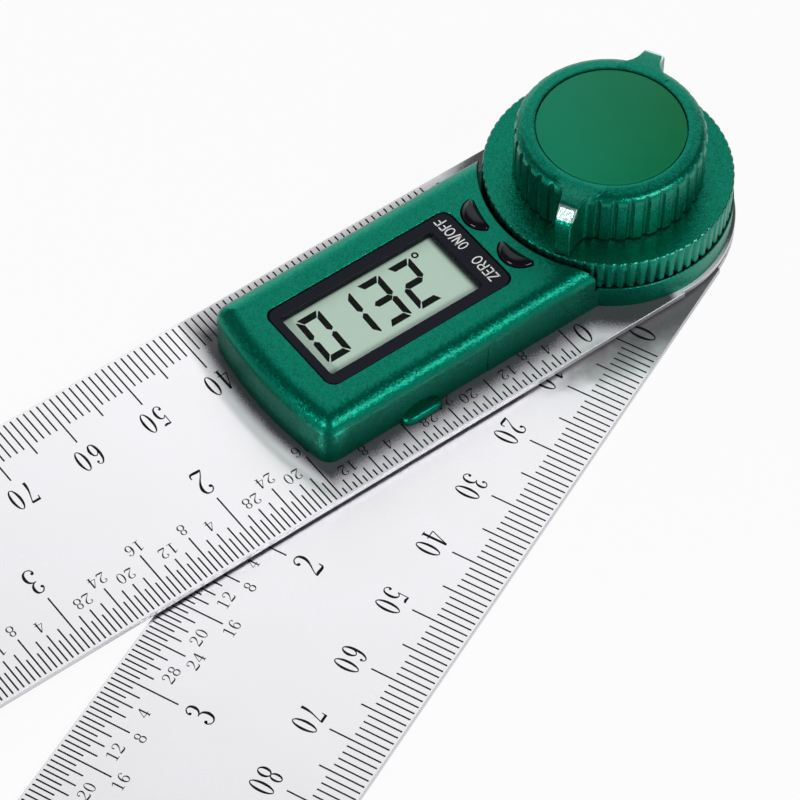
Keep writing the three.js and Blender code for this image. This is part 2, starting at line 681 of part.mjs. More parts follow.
function lockKnob() {
  const fillet = arc(at(KNOB_RADIUS - KNOB_FILLET, KNOB_TOP - KNOB_FILLET), KNOB_FILLET, 0, 90, 3);
  const drum = turned([
    [0, SOCKET_TOP], [SOCKET_RADIUS, SOCKET_TOP], [SOCKET_RADIUS, KNOB_LOW], [KNOB_RADIUS, KNOB_LOW],
    ...fillet.map((p) => [p.x, p.y]),
    [LABEL_RECESS_RADIUS, KNOB_TOP], [LABEL_RECESS_RADIUS, LABEL_RECESS_FLOOR], [0, LABEL_RECESS_FLOOR],
  ], FINE);
  const flutes = [];
  for (let i = 0; i < KNOB_FLUTES; i += 1) {
    const place = polar(KNOB_RADIUS + 0.05, ((i + 0.5) * 360) / KNOB_FLUTES);
    flutes.push(rod(place.x, place.y, FLUTE_RADIUS, KNOB_LOW - PAST, FLUTE_TOP, 6));
  }
  const fluted = cut(solidOf(drum), ...flutes);
  return fluted.add(wing()).add(wing().rotate([0, 0, 180]));
}

function knobLabel() {
  const rise = [];
  for (let i = 5; i >= 0; i -= 1) {
    const share = i / 5;
    rise.push([LABEL_RADIUS * share, KNOB_TOP - 0.1 + (LABEL_RISE + 0.1) * (1 - share ** 2)]);
  }
  const low = LABEL_RECESS_FLOOR + 0.05;
  return turned([[0, low], [LABEL_RADIUS, low], ...rise]);
}

const part = new THREE.Group();

// Upper arm: the rule with everything that is fixed to it.
const upperArm = new THREE.Group();
part.add(upperArm);
piece(upperArm, "upper_blade", geometryOf(upperRule()), finishes.steel()).position.z = UPPER_RULE_LOW;
const bladeWasher = ring(
  HUB_FLANGE_RADIUS, BLADE_WASHER_RADIUS,
  RULE_THICKNESS + BLADE_WASHER_PLAY, UPPER_RULE_LOW - BLADE_WASHER_PLAY,
);
piece(upperArm, "blade_washer", bladeWasher, finishes.whitePlastic());
CASE_SCREWS.forEach(([x, y], i) => {
  const screw = piece(upperArm, `housing_screw_${i + 1}`, countersunkScrew(), finishes.nickel());
  screw.position.set(x, y, UPPER_RULE_LOW);
});

const deck = new THREE.Group();
deck.position.z = DECK;
upperArm.add(deck);
piece(deck, "housing", geometryOf(housing()), finishes.greenCase());
piece(deck, "bezel", geometryOf(bezel()), finishes.bezelBlack());
piece(deck, "display_window", displayWindow(), finishes.clear());
const panel = block(PANEL.near, PANEL.far, -PANEL.halfWidth, PANEL.halfWidth, PANEL.low, PANEL.high);
piece(deck, "lcd_panel", panel, finishes.display());
const connector = block(
  CONNECTOR.near, CONNECTOR.far, CONNECTOR.left, CONNECTOR.right,
  BOARD_TOP + BOARD_PLAY, CONNECTOR.high,
);
piece(deck, "zebra_strip", connector, finishes.rubber());
piece(deck, "main_board", geometryOf(mainBoard()), finishes.board());
const underBoard = BOARD_LOW - BOARD_PLAY;
const chip = block(CHIP.near, CHIP.far, -CHIP.halfWidth, CHIP.halfWidth, CHIP.low, underBoard);
piece(deck, "controller_chip", chip, finishes.blackPlastic());
piece(deck, "on_off_dome", snapDome(-KEY_MIDDLE), finishes.nickel());
piece(deck, "zero_dome", snapDome(KEY_MIDDLE), finishes.nickel());
BOARD_SCREWS.forEach(([x, y], i) => {
  piece(deck, `board_screw_${i + 1}`, boardScrew(), finishes.nickel()).position.set(x, y, 0);
});
piece(deck, "contact_positive", sideContact(), finishes.nickel());
const tongue = block(
  TONGUE.near, TONGUE.far, -TONGUE.halfWidth, TONGUE.halfWidth, TONGUE.low, underBoard,
);
piece(deck, "contact_negative", tongue, finishes.nickel());
const stator = ring(STATOR.inner, STATOR.outer, STATOR.low, STATOR.high);
piece(deck, "encoder_stator", stator, finishes.board());
piece(deck, "encoder_ribbon", ribbon(), finishes.amberFilm());

// Keys and the tray, which slide in the housing
piece(deck, "on_off_button", geometryOf(key(-KEY_MIDDLE)), finishes.blackGloss());
piece(deck, "zero_button", geometryOf(key(KEY_MIDDLE)), finishes.blackGloss());
piece(deck, "battery_tray", geometryOf(batteryTray()), finishes.greenCase());
piece(deck, "coin_cell", coinCell(), finishes.nickel());

// Lower arm: the rule, the hub, and what turns with them.
const lowerArm = new THREE.Group();
lowerArm.rotation.z = radians(ANGLE_BETWEEN_RULES);
part.add(lowerArm);
piece(lowerArm, "lower_blade", geometryOf(lowerRule()), finishes.steel());
piece(lowerArm, "pivot_hub", geometryOf(pivotHub()), finishes.nickel());

const turning = new THREE.Group();
turning.position.z = DECK;
lowerArm.add(turning);
const rotor = cut(
  solidOf(rod(0, 0, ROTOR.radius, ROTOR.low, ROTOR.high)),
  keyedBore(ROTOR.low - PAST, ROTOR.high + PAST),
);
piece(turning, "encoder_rotor", geometryOf(rotor), finishes.board());
piece(turning, "serrated_wheel", geometryOf(serratedWheel()), finishes.greenCase());
piece(turning, "wave_washer", waveWasher(), finishes.nickel());
piece(turning, "retaining_nut", geometryOf(retainingNut()), finishes.nickel());

// Knob, which screws down on the stud
const knob = new THREE.Group();
knob.rotation.z = radians(WING_AZIMUTH - ANGLE_BETWEEN_RULES);
turning.add(knob);
piece(knob, "lock_knob", geometryOf(lockKnob()), finishes.greenCase());
const insert = ring(STUD_RADIUS + RUNNING_GAP, INSERT_RADIUS, INSERT_LOW, INSERT_TOP, COARSE);
piece(knob, "knob_insert", insert, finishes.brass());
piece(knob, "knob_label", knobLabel(), finishes.greenLabel());

export default part;
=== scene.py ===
# An angle finder: two steel rules turn about one pivot, with a display housing on the upper rule and
# a winged lock knob over the pivot. Shapes are written in millimetres in the CAD's frame: the origin
# is on the pivot axis at the lower rule's underside, and +X runs along the upper rule.
import math

import bmesh
import bpy
import numpy as np
from mathutils import Matrix, Vector
from mathutils.geometry import tessellate_polygon


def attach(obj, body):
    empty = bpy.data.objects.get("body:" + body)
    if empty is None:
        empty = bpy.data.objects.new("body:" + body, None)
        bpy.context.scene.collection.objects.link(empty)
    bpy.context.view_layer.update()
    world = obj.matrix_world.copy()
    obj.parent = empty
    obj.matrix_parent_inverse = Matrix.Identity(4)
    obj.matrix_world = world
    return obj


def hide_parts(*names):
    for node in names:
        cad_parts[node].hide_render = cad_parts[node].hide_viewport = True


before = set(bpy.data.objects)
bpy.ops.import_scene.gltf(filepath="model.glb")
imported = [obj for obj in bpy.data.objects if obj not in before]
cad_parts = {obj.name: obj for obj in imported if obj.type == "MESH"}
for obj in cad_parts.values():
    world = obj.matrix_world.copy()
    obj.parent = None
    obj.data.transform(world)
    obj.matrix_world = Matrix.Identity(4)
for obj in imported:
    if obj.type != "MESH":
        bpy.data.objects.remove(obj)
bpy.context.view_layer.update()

# The lower rule
# A blanked strip of stainless spring steel, stoned flat with a fine grain along its length, with a
# square free end and a round pivot end. The hub's flanged foot sits in a seat in its underside.
MM = 0.001
RULE_HALF = 17.5
RULE_END = 226.0
RULE_THICK = 0.9
RULE_EASE = 0.05
RULE_CORNER = 1.5
PIVOT_END = 17.2
PIVOT_STEP = 0.7
SHEARED = 0.08
BORE = 6.1
SEAT = 8.1
SEAT_DEEP = 0.45
LOWER_TURN = math.radians(23.21)


class Wire:
    """An output socket in a material. Arithmetic on it adds Math nodes, so a mask reads as a sum."""

    def __init__(self, socket):
        self.socket = socket

    def add(self, kind, settings, sockets, out=0):
        """A node of any type: its settings first, then its sockets by name or number."""
        node = self.socket.id_data.nodes.new("ShaderNode" + kind)
        for name, value in settings.items():
            setattr(node, name, value)
        for name, value in sockets.items():
            put(node.inputs[name], value)
        return Wire(node.outputs[out])

    def math(self, operation, *values):
        return self.add("Math", {"operation": operation}, dict(enumerate(values)))

    def vector(self, operation, *others, out=0):
        return self.add("VectorMath", {"operation": operation}, dict(enumerate((self, *others))), out)

    def __add__(self, other):
        return self.math("ADD", self, other)

    def __sub__(self, other):
        return self.math("SUBTRACT", self, other)

    def __rsub__(self, other):
        return self.math("SUBTRACT", other, self)

    def __mul__(self, other):
        return self.math("MULTIPLY", self, other)

    def __truediv__(self, other):
        return self.math("DIVIDE", self, other)

    def __rtruediv__(self, other):
        return self.math("DIVIDE", other, self)

    __radd__ = __add__
    __rmul__ = __mul__

    def size(self):
        return self.math("ABSOLUTE", self)

    def larger(self, other):
        return self.math("MAXIMUM", self, other)

    def smaller(self, other):
        return self.math("MINIMUM", self, other)

    def wave(self):
        return self.math("SINE", self)

    def part(self, axis):
        """One of the three coordinates of a point."""
        return self.add("SeparateXYZ", {}, {0: self}, axis)

    def mm(self, axis):
        return self.part(axis) / MM

    def from_axis(self):
        """A point's distance from the pivot axis, in millimetres."""
        return self.scaled(1, 1, 0).vector("LENGTH", out="Value") / MM

    def rise(self, low, high):
        """0 below low and 1 above high, with a smooth step between."""
        return self.add("MapRange", {"interpolation_type": "SMOOTHSTEP"}, {0: self, 1: low, 2: high})

    def mix(self, low, high):
        """The colour low where this is 0 and high where it is 1."""
        return self.add("Mix", {"data_type": "RGBA"}, {0: self, 6: low, 7: high}, 2)

    def scaled(self, *factors):
        """Coordinates stretched by a factor along each axis."""
        return self.vector("MULTIPLY", factors)

    def noise(self, size, detail=2.0, roughness=0.5):
        """Noise from 0 to 1 whose blotches are about size across, in metres."""
        sockets = {"Vector": self, "Scale": 1 / size, "Detail": detail, "Roughness": roughness}
        return self.add("TexNoise", {}, sockets)

    def bump(self, strength, depth):
        """Normals of a surface whose height is this, with its full range depth high."""
        return self.add("Bump", {}, {"Strength": strength, "Distance": depth, "Height": self})


def put(socket, value):
    """Links a wire to a socket, or sets the socket to a plain value."""
    if isinstance(value, Wire):
        socket.id_data.links.new(value.socket, socket)
    elif socket.type == "RGBA":
        socket.default_value = (*value, 1.0)
    else:
        socket.default_value = value


def surface(name, plain, varied):
    """A material. plain sets shader sockets, and varied(where) gives those that vary over the surface."""
    made = bpy.data.materials.new(name)
    made.use_nodes = True
    shader = made.node_tree.nodes["Principled BSDF"]
    where = Wire(made.node_tree.nodes.new("ShaderNodeTexCoord").outputs["Object"])
    for socket, value in {**plain, **varied(where)}.items():
        put(shader.inputs[socket], value)
    return made


class Shell:
    """A closed mesh in the making: loops of points, in millimetres, with heights from a base level."""

    def __init__(self, base=0.0):
        self.base = base
        self.points = []
        self.faces = []

    def loop(self, outline, height):
        first = len(self.points)
        self.points += [(x, y, self.base + height) for x, y in outline]
        return list(range(first, len(self.points)))

    def loops(self, outline, steps):
        """A loop of outline(size) at each (size, height) of the steps."""
        return [self.loop(outline(size), height) for size, height in steps]

    def wall(self, *loops, closed=True):
        for low, high in zip(loops, loops[1:]):
            for i in range(len(low) if closed else len(low) - 1):
                j = (i + 1) % len(low)
                self.faces.append((low[i], low[j], high[j], high[i]))

    def lid(self, *loops):
        """A level face inside the first loop, with the other loops as holes."""
        ids = [i for loop in loops for i in loop]
        flat = [[Vector((*self.points[i][:2], 0)) for i in loop] for loop in loops]
        self.faces += [tuple(ids[k] for k in corner) for corner in tessellate_polygon(flat)]

    def solid(self, *loops):
        """A wall through the loops, with a lid on each end."""
        self.wall(*loops)
        self.lid(loops[0])
        self.lid(loops[-1])

    def stack(self, outline, steps):
        """A solid through a loop of outline(size) at each (size, height) of the steps."""
        self.solid(*self.loops(outline, steps))
        return self

    def piece(self, name, material, body, turn=0.0, crease=30.0):
        """The finished object, which rides on a CAD body."""
        mesh = bpy.data.meshes.new(name)
        mesh.from_pydata([[c * MM for c in p] for p in self.points], [], self.faces)
        mesh.transform(Matrix.Rotation(turn, 4, "Z"))
        welded = bmesh.new()
        welded.from_mesh(mesh)
        bmesh.ops.remove_doubles(welded, verts=welded.verts, dist=1e-7)
        bmesh.ops.recalc_face_normals(welded, faces=welded.faces)
        welded.to_mesh(mesh)
        welded.free()
        mesh.materials.append(material)
        made = added(name, mesh)
        settle(made, crease)
        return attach(made, body)


def added(name, data):
    made = bpy.data.objects.new(name, data)
    bpy.context.scene.collection.objects.link(made)
    return made


def settle(made, crease=30.0):
    """Smooth shading with sharp edges where faces meet at more than the crease angle."""
    made.data.shade_smooth()
    made.data.set_sharp_from_angle(angle=math.radians(crease))
    even = made.modifiers.new("even", "WEIGHTED_NORMAL")
    even.keep_sharp = True
    even.weight = 80


def arc(x, y, radius, start, end, steps):
    """Points on a round arc, both ends included, with its angles in degrees."""
    turns = [math.radians(start + (end - start) * i / steps) for i in range(steps + 1)]
    return [(x + radius * math.cos(t), y + radius * math.sin(t)) for t in turns]


def circle(x, y, radius, sides=48):
    return arc(x, y, radius, 0, 360 - 360 / sides, sides - 1)


def rule_outline(ease):
    """The rule's rim, drawn in by ease: two rounded corners, and the pivot end's arc between steps."""
    half, end, round_end = RULE_HALF - ease, RULE_END - ease, PIVOT_END - ease
    step, inset = PIVOT_STEP + ease, RULE_CORNER - ease
    angle = math.degrees(math.acos(step / round_end))
    return [
        (step, -half),
        *arc(end - inset, inset - half, inset, -90, 0, 8),
        *arc(end - inset, half - inset, inset, 0, 90, 8),
        (step, half),
        *arc(0, 0, round_end, angle, 360 - angle, 120),
    ]


def rule(name, low, holes, body, stain_and_shade, turn=0.0):
    """A rule from its underside's height up. Each hole has a middle, its number of sides, and the
    (radius, height) steps of its wall."""
    shell = Shell(low)
    top = RULE_THICK - RULE_EASE
    rim = shell.loops(rule_outline, ((RULE_EASE, 0), (0, RULE_EASE), (0, top), (RULE_EASE, RULE_THICK)))
    shell.wall(*rim)
    bores = [shell.loops(lambda r: circle(x, y, r, sides), steps) for x, y, sides, steps in holes]
    for bore in bores:
        shell.wall(*bore)
    shell.lid(rim[0], *[bore[0] for bore in bores])
    shell.lid(rim[-1], *[bore[-1] for bore in bores])
    steel = surface(name + "_steel", {}, lambda where: stoned(where, turn, stain_and_shade))
    return shell.piece(name, steel, body, turn)


def stoned(where, turn, stain_and_shade):
    """Bright and finely grained on the flats, sheared dull at the edges, and greyed, dulled and darkened
    where stain_and_shade paints shade.
    """
    along = where.add("VectorRotate", {"rotation_type": "Z_AXIS"}, {"Vector": where, "Angle": -turn})
    x, y = along.mm(0), along.mm(1)
    round_end = where.from_axis() - (PIVOT_END - SHEARED) - x.rise(0.6, 0.8) * 300
    rim = (y.size() - (RULE_HALF - SHEARED)).larger(x - (RULE_END - SHEARED))
    sheared = rim.larger(round_end).rise(0.0, 0.03)
    grain = along.scaled(0.12, 1.0, 1.0).noise(0.00011, 3.0, 0.6)
    fine = where.noise(0.00014, 2.0, 0.6)
    cloud = where.noise(0.009, 3.0)
    tone = (grain * 0.5 + fine * 0.3 + cloud * 0.2).rise(0.25, 0.75)
    dark, dull, grey = stain_and_shade(where, sheared)
    # Painted shade: the grey here and the near-black base below stand in for the shadow and dark reflection
    # of the housing and the hub on the steel.
    bright = grey.mix(tone.mix((0.935, 0.93, 0.975), (0.99, 0.985, 1.0)), (0.43, 0.385, 0.44))
    bright = sheared.mix(bright, (0.68, 0.68, 0.71))
    return {
        "Base Color": dark.mix(bright, fine.mix((0.03, 0.03, 0.035), (0.13, 0.13, 0.14))),
        "Metallic": 1 - dark.larger(dull),
        "Roughness": 0.26 + tone * 0.08 + sheared * 0.22 + dull * 0.18,
        "Normal": (grain * 0.6 + fine * 0.4).bump(0.5, 0.000005),
    }


def bloomed(where, sheared):
    """Painted shade round the hub and close to the upper rule's edge, for the shadow and dark reflection of
    the knob, wheel and upper rule: dark and dull there.
    """
    beyond = (where.mm(1) - RULE_HALF).rise(0.0, 8.0) * 6
    ragged = (where.noise(0.002, 3.0) - 0.5) * 6
    dark = 1 - (where.from_axis() + beyond + ragged).rise(20.0, 34.5)
    return dark * (1 - sheared) * 0.9, dark, dark * 0.2


seat_steps = (
    (SEAT + RULE_EASE, 0), (SEAT, RULE_EASE), (SEAT, SEAT_DEEP), (BORE, SEAT_DEEP),
    (BORE, RULE_THICK - RULE_EASE), (BORE + RULE_EASE, RULE_THICK),
)
lower_rule = rule("lower_rule", 0.0, [(0, 0, 96, seat_steps)], "lower_arm", bloomed, LOWER_TURN)
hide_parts("lower_blade")


# The scales
# Ticks and numbers etched into each rule and filled with black paint, millimetres along one edge and
# thirty-seconds of an inch along the other. The paint stands a few microns proud of the steel.
INK_SPAN = (-0.012, 0.004)
ZERO_AT = 17.77
INCH = 25.4
PARTS = 32
TICK_FOOT = 17.2
TICK_WIDE = 0.22
MM_TICKS = {10: 7.77, 5: 6.27, 1: 4.77}
INCH_TICKS = {32: 9.13, 16: 7.63, 8: 6.2, 2: 4.63, 1: 3.13}
SHORT_TICKS = {32: 4.95, 16: 4.03, 8: 3.03, 2: 2.03, 1: 1.05}
FRACTION_ROWS = {16: 7.47, 8: 8.73, 4: 10.27}
SHORT_ROWS = {8: 12.25, 4: 13.27}
INCH_ROW = 3.1
NUMBER_ROOM = 9.0


class Ink(Shell):
    """Flat painted shapes, each a thin closed solid across the base level."""

    def patch(self, outline):
        low, high = [self.loop(outline, height) for height in INK_SPAN]
        self.wall(low, high)
        self.faces += [tuple(reversed(low)), tuple(high)]

    def bar(self, start, end, width):
        """A straight stroke with square ends."""
        start, end = np.array(start), np.array(end)
        run = end - start
        side = np.array([-run[1], run[0]]) / np.hypot(*run) * width / 2
        self.patch([start - side, end - side, end + side, start + side])

    def line(self, points, width, closed):
        """A curved stroke, of one width or a width at each point."""
        along = np.roll(points, -1, 0) - np.roll(points, 1, 0) if closed else np.gradient(points, axis=0)
        side = np.stack([-along[:, 1], along[:, 0]], 1) / np.linalg.norm(along, axis=1)[:, None]
        side *= width / 2
        self.stroke(points + side, points - side, closed)

    def stroke(self, left, right, closed=True):
        """A strip between two rows of points. A closed one runs round and meets itself."""
        sides = [[self.loop(row, height) for row in (left, right)] for height in INK_SPAN]
        corners = (*sides[0], *reversed(sides[1]))
        for a, b in zip(corners, (*corners[1:], corners[0])):
            self.wall(a, b, closed=closed)
        if not closed:
            self.faces += [tuple(row[k] for row in corners) for k in (0, -1)]

    def painted(self, name, material, body, turn=0.0):
        made = self.piece(name, material, body, turn)
        made.modifiers.clear()
        return made


def curve_through(points, closed, steps=6):
    """A smooth curve through rows of numbers (Catmull-Rom), as an array."""
    rows = np.array(points, float)
    if closed:
        rows = np.vstack([rows[-1], rows, rows[0], rows[1]])
    else:
        rows = np.vstack([2 * rows[0] - rows[1], rows, 2 * rows[-1] - rows[-2]])
    out = []
    for a, b, c, d in zip(rows, rows[1:], rows[2:], rows[3:]):
        for t in np.arange(steps) / steps:
            bend = (2 * a - 5 * b + 4 * c - d) * t**2 + (3 * b - a - 3 * c + d) * t**3
            out.append(0.5 * (2 * b + (c - a) * t + bend))
    if not closed:
        out.append(rows[-2])
    return np.array(out)


def oval(x, y, across, up, thick, thin):
    """A ring stroke, thick at its sides and thin at its top and foot."""
    turns = np.radians(np.arange(0, 360, 30))
    return [
        (x + across * math.cos(t), y + up * math.sin(t), thin + (thick - thin) * math.cos(t) ** 2)
        for t in turns
    ]


# Each figure is drawn in thousandths of its height, in a cell 400 wide: smooth strokes of
# (x, y, width), closed strokes, straight bars of (x0, y0, x1, y1, width), and dots of (x, y, radius).
CELL = 0.4
FIGURES = {
    "0": {"closed": [oval(200, 500, 156, 484, 88, 32)]},
    "1": {"bars": [(210, 0, 210, 1000, 88), (70, 16, 350, 16, 32), (50, 840, 210, 985, 34)]},
    "2": {
        "smooth": [
            [(45, 740, 50), (45, 860, 40), (110, 960, 36), (200, 984, 34), (295, 930, 65), (335, 770, 90),
             (305, 600, 75), (220, 420, 45), (110, 250, 32), (30, 90, 30), (20, 20, 30)],
            [(15, 30, 40), (100, 58, 90), (220, 50, 88), (320, 50, 75), (370, 100, 45), (380, 220, 34)],
        ],
        "dots": [(78, 760, 58)],
    },
    "3": {
        "smooth": [
            [(45, 780, 40), (60, 880, 38), (120, 960, 35), (190, 984, 34), (280, 930, 65), (310, 780, 86),
             (275, 630, 60), (190, 550, 34), (120, 530, 30)],
            [(120, 530, 30), (200, 530, 36), (300, 460, 65), (345, 290, 92), (305, 100, 65),
             (200, 16, 34), (100, 40, 36), (40, 130, 40), (35, 200, 45)],
        ],
        "dots": [(78, 790, 52), (70, 210, 56)],
    },
    "4": {
        "bars": [
            (280, 0, 280, 1000, 88), (190, 16, 380, 16, 32), (265, 990, 12, 270, 34), (0, 265, 400, 265, 34),
        ],
    },
    "5": {
        "smooth": [
            [(75, 975, 30), (150, 945, 75), (250, 935, 88), (345, 975, 50)],
            [(68, 530, 30), (130, 610, 34), (210, 630, 42), (305, 540, 78), (342, 340, 92),
             (300, 110, 62), (190, 16, 34), (100, 40, 36), (40, 120, 40), (35, 190, 45)],
        ],
        "bars": [(80, 985, 68, 520, 32)],
        "dots": [(70, 200, 56)],
    },
    "6": {
        "smooth": [
            [(350, 830, 40), (330, 920, 36), (260, 980, 34), (170, 950, 45), (80, 780, 75), (45, 500, 90),
             (60, 240, 86), (120, 60, 50), (200, 16, 34), (290, 80, 60), (342, 290, 90), (305, 490, 60),
             (220, 570, 34), (130, 520, 34), (80, 400, 34)],
        ],
        "dots": [(315, 840, 50)],
    },
    "7": {
        "smooth": [[(365, 960, 34), (280, 700, 36), (200, 450, 55), (160, 200, 85), (155, 0, 100)]],
        "bars": [(30, 945, 370, 945, 88), (35, 985, 20, 780, 34)],
    },
    "8": {"closed": [oval(200, 755, 128, 230, 78, 34), oval(200, 270, 156, 254, 88, 34)]},
}
# Each kind of number has its height, its stretch along the rule, the step from one figure to the
# next, and how bold its strokes are.
MM_SIZE = (3.4, 3.42, 1.97, 1.2)
INCH_SIZE = (3.9, 4.5, 2.6, 1.2)
FRACTION_SIZE = (1.6, 2.55, 1.3, 1.5)


def draw(ink, figures, x0, y0, way, size):
    """Writes a number over its base's middle at (x0, y0), upright (way 1) or turned round (way -1)."""
    height, wide, advance, boldness = size
    middle = (len(figures) - 1) * advance + CELL * wide
    for k, figure in enumerate(figures):
        strokes = FIGURES["6" if figure == "9" else figure]

        def placed(x, y):
            if figure == "9":
                x, y = CELL - x, 1 - y
            return x0 + way * (k * advance + x * wide - middle / 2), y0 + way * (y * height)

        for kind in ("smooth", "closed"):
            for stroke in strokes.get(kind, ()):
                row = curve_through(stroke, kind == "closed") / 1000
                points = np.array([placed(x, y) for x, y, _ in row])
                ink.line(points, row[:, 2:] * height * boldness, kind == "closed")
        for bar in strokes.get("bars", ()):
            x, y, x1, y1, width = np.divide(bar, 1000)
            ink.bar(placed(x, y), placed(x1, y1), width * height * boldness)
        for dot in strokes.get("dots", ()):
            x, y, radius = np.divide(dot, 1000)
            ink.patch(circle(*placed(x, y), radius * height, 14))


def graded(k, marks):
    """The mark of the coarsest division that k falls on."""
    return next(mark for step, mark in marks.items() if k % step == 0)


def scale(name, level, body, turn, way, mm_row, zeros, zero_size, beside):
    """Both scales of a rule. way is the side of the inch scale, +1 or -1, and which way up its numbers
    are. beside(s, side) is how far in from the edge the bare steel reaches there."""
    ink = Ink(level)

    def tick(s, side, length):
        length = min(length, beside(s, side) - 0.1)
        if length > 0.5:
            ink.bar((s, side * TICK_FOOT), (s, side * (TICK_FOOT - length)), TICK_WIDE)

    def by_case(s):
        return beside(s, way) < 5.2

    for k in range(201):
        tick(ZERO_AT + k, -way, graded(k, MM_TICKS))
    for k in range(8 * PARTS + 1):
        s = ZERO_AT + k * INCH / PARTS
        tick(s, way, graded(k, SHORT_TICKS if by_case(s) else INCH_TICKS))
    for k in range(10, 201, 10):
        s = ZERO_AT + k
        if beside(s, -way) > NUMBER_ROOM:
            draw(ink, str(k), s + 0.1, mm_row, 1, MM_SIZE)
    for k in range(1, 9):
        s = ZERO_AT + k * INCH
        if beside(s, way) > NUMBER_ROOM:
            draw(ink, str(k), s + way * 0.13, way * INCH_ROW, way, INCH_SIZE)
    for k in range(4, 8 * PARTS, 4):
        s = ZERO_AT + k * INCH / PARTS
        if k % PARTS and (k % 16 or not by_case(s)):
            row = graded(k, SHORT_ROWS if by_case(s) else FRACTION_ROWS)
            draw(ink, str(k % PARTS), s, way * row, way, FRACTION_SIZE)
    for x0, y0, zero_way in zeros:
        draw(ink, "0", x0, y0, zero_way, zero_size)
    return ink.painted(name, engraving, body, turn)


def filling(where):
    mottle = where.noise(0.0003)
    return {
        "Base Color": mottle.rise(0.3, 0.8).mix((0.004, 0.004, 0.005), (0.012, 0.012, 0.013)),
        "Roughness": 0.4 + mottle * 0.2,
        "Normal": mottle.bump(0.3, 0.000003),
    }


engraving = surface("black_filling", {"Specular IOR Level": 0.1}, filling)
scale(
    "lower_scales", RULE_THICK, "lower_arm", LOWER_TURN, -1, 4.87,
    ((15.37, 11.7, 1), (15.4, -11.7, -1)), (3.9, 4.35, 2.6, 1.2), lambda s, side: 20.0,
)


# The pivot hub
# A turned steel bolt: its flanged foot is flush with the lower rule's underside, and its shaft has
# two flats that carry the wheel. A white nylon washer keeps the two rules apart.
def turned_finish(where):
    rings = (where.from_axis() * 22).wave()
    stain_and_shade = where.noise(0.002, 3.0)
    return {
        "Base Color": stain_and_shade.mix((0.62, 0.62, 0.6), (0.78, 0.78, 0.76)),
        "Roughness": 0.22 + stain_and_shade * 0.15,
        "Normal": rings.bump(0.25, 0.00001),
    }


def mottled(name, plain, size, low, high, rough, vary, bump=None, detail=2.0, grain=None):
    """A material that drifts between two colours in blotches of a size. bump is a (strength, depth),
    of the blotches or of a grain with its own (size, detail)."""
    def varied(where):
        blotch = where.noise(size, detail)
        made = {"Base Color": blotch.mix(low, high), "Roughness": rough + blotch * vary}
        if bump:
            made["Normal"] = (where.noise(*grain) if grain else blotch).bump(*bump)
        return made
    return surface(name, plain, varied)


def give(material, *names):
    """A better material on CAD nodes that keep their own shape."""
    for name in names:
        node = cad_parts[name]
        node.data.materials.clear()
        node.data.materials.append(material)


plated = surface("plated_steel", {"Metallic": 1.0}, turned_finish)
give(plated, "pivot_hub")
nylon = mottled(
    "white_nylon", {"Subsurface Weight": 0.1}, 0.0015, (0.72, 0.71, 0.67), (0.82, 0.81, 0.78), 0.42, 0.15,
    bump=(0.2, 0.00001), detail=3.0, grain=(0.0002, 2.0),
)
give(nylon, "blade_washer")


# The upper rule
# The same strip of steel with four countersunk holes, through which screws pull the housing down
# onto it. It runs under the whole housing, and its round end shows as a thin bright edge.
UPPER_LOW = 1.3
DECK = 2.2
CASE_HALF = 12.45
CASE_END = 55.9
CASE_SCREWS = ((23.0, 9.1), (23.0, -9.1), (53.0, 8.7), (53.0, -8.7))


def handled(where, sheared):
    """Painted shade beside the housing, for its shadow and dark reflection on the steel: dark next to it, and
    greyed and dull further out; and the underside painted dark as painted shade in the gap between the rules.
    """
    radius = where.from_axis()
    beside = where.mm(1).size() - CASE_HALF
    ring = (radius - 18.3) * 1.15 + (1 - where.mm(0).rise(-1.0, 5.0)) * 8
    away = beside.larger((radius - CASE_END) * 1.75 - 0.3).smaller(ring)
    ragged = where.noise(0.0002, 2.0, 0.7) * 3.4 + where.noise(0.003, 3.0) * 1.4 - 2.4
    # Painted shade: the underside and the foot of the edge are painted dark, for the shade in the gap between
    # the rules.
    under = 1 - where.mm(2).rise(UPPER_LOW + 0.08, UPPER_LOW + 0.14)
    dark = (1 - (away + ragged).rise(0.9, 2.6)) * (1 - sheared)
    return dark.larger(under), (1 - away.rise(3.5, 6.5)) * (1 - sheared), 1 - away.rise(1.5, 4.2)


bore_steps = (
    (BORE + RULE_EASE, 0), (BORE, RULE_EASE), (BORE, RULE_THICK - RULE_EASE), (BORE + RULE_EASE, RULE_THICK),
)
screw_steps = ((1.7, 0), (0.9, RULE_THICK - RULE_EASE), (0.9, RULE_THICK))
upper_holes = [(0, 0, 96, bore_steps), *((x, y, 48, screw_steps) for x, y in CASE_SCREWS)]
upper_rule = rule("upper_rule", UPPER_LOW, upper_holes, "upper_arm", handled)
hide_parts("upper_blade")


def beside_case(s, side):
    """The housing covers the rule's middle, a little less far along on the millimetres' side."""
    covered = 1.499 * INCH if side > 0 else 37.5
    return TICK_FOOT - CASE_HALF if s < ZERO_AT + covered else 20.0


scale(
    "upper_scales", DECK, "upper_arm", 0.0, 1, -8.23,
    ((15.55, 13.1, 1), (15.4, -16.5, 1)), (3.4, 3.9, 2.6, 1.2), beside_case,
)


# The housing's screws
# Four small plated countersunk screws with a cross recess, driven up through the rule into bosses.
# Each has a flat head with a broken edge, a cone, and a plain shank.
SCREW_SKIN = ((1.5, 0.05), (1.6, 0.12), (1.6, 0.16), (0.7, 0.95), (0.7, 5.4))
SCREW_CROSS = (((0.95, 0.34), 0.05), ((0.9, 0.3), 0.1), ((0.35, 0.2), 0.75))


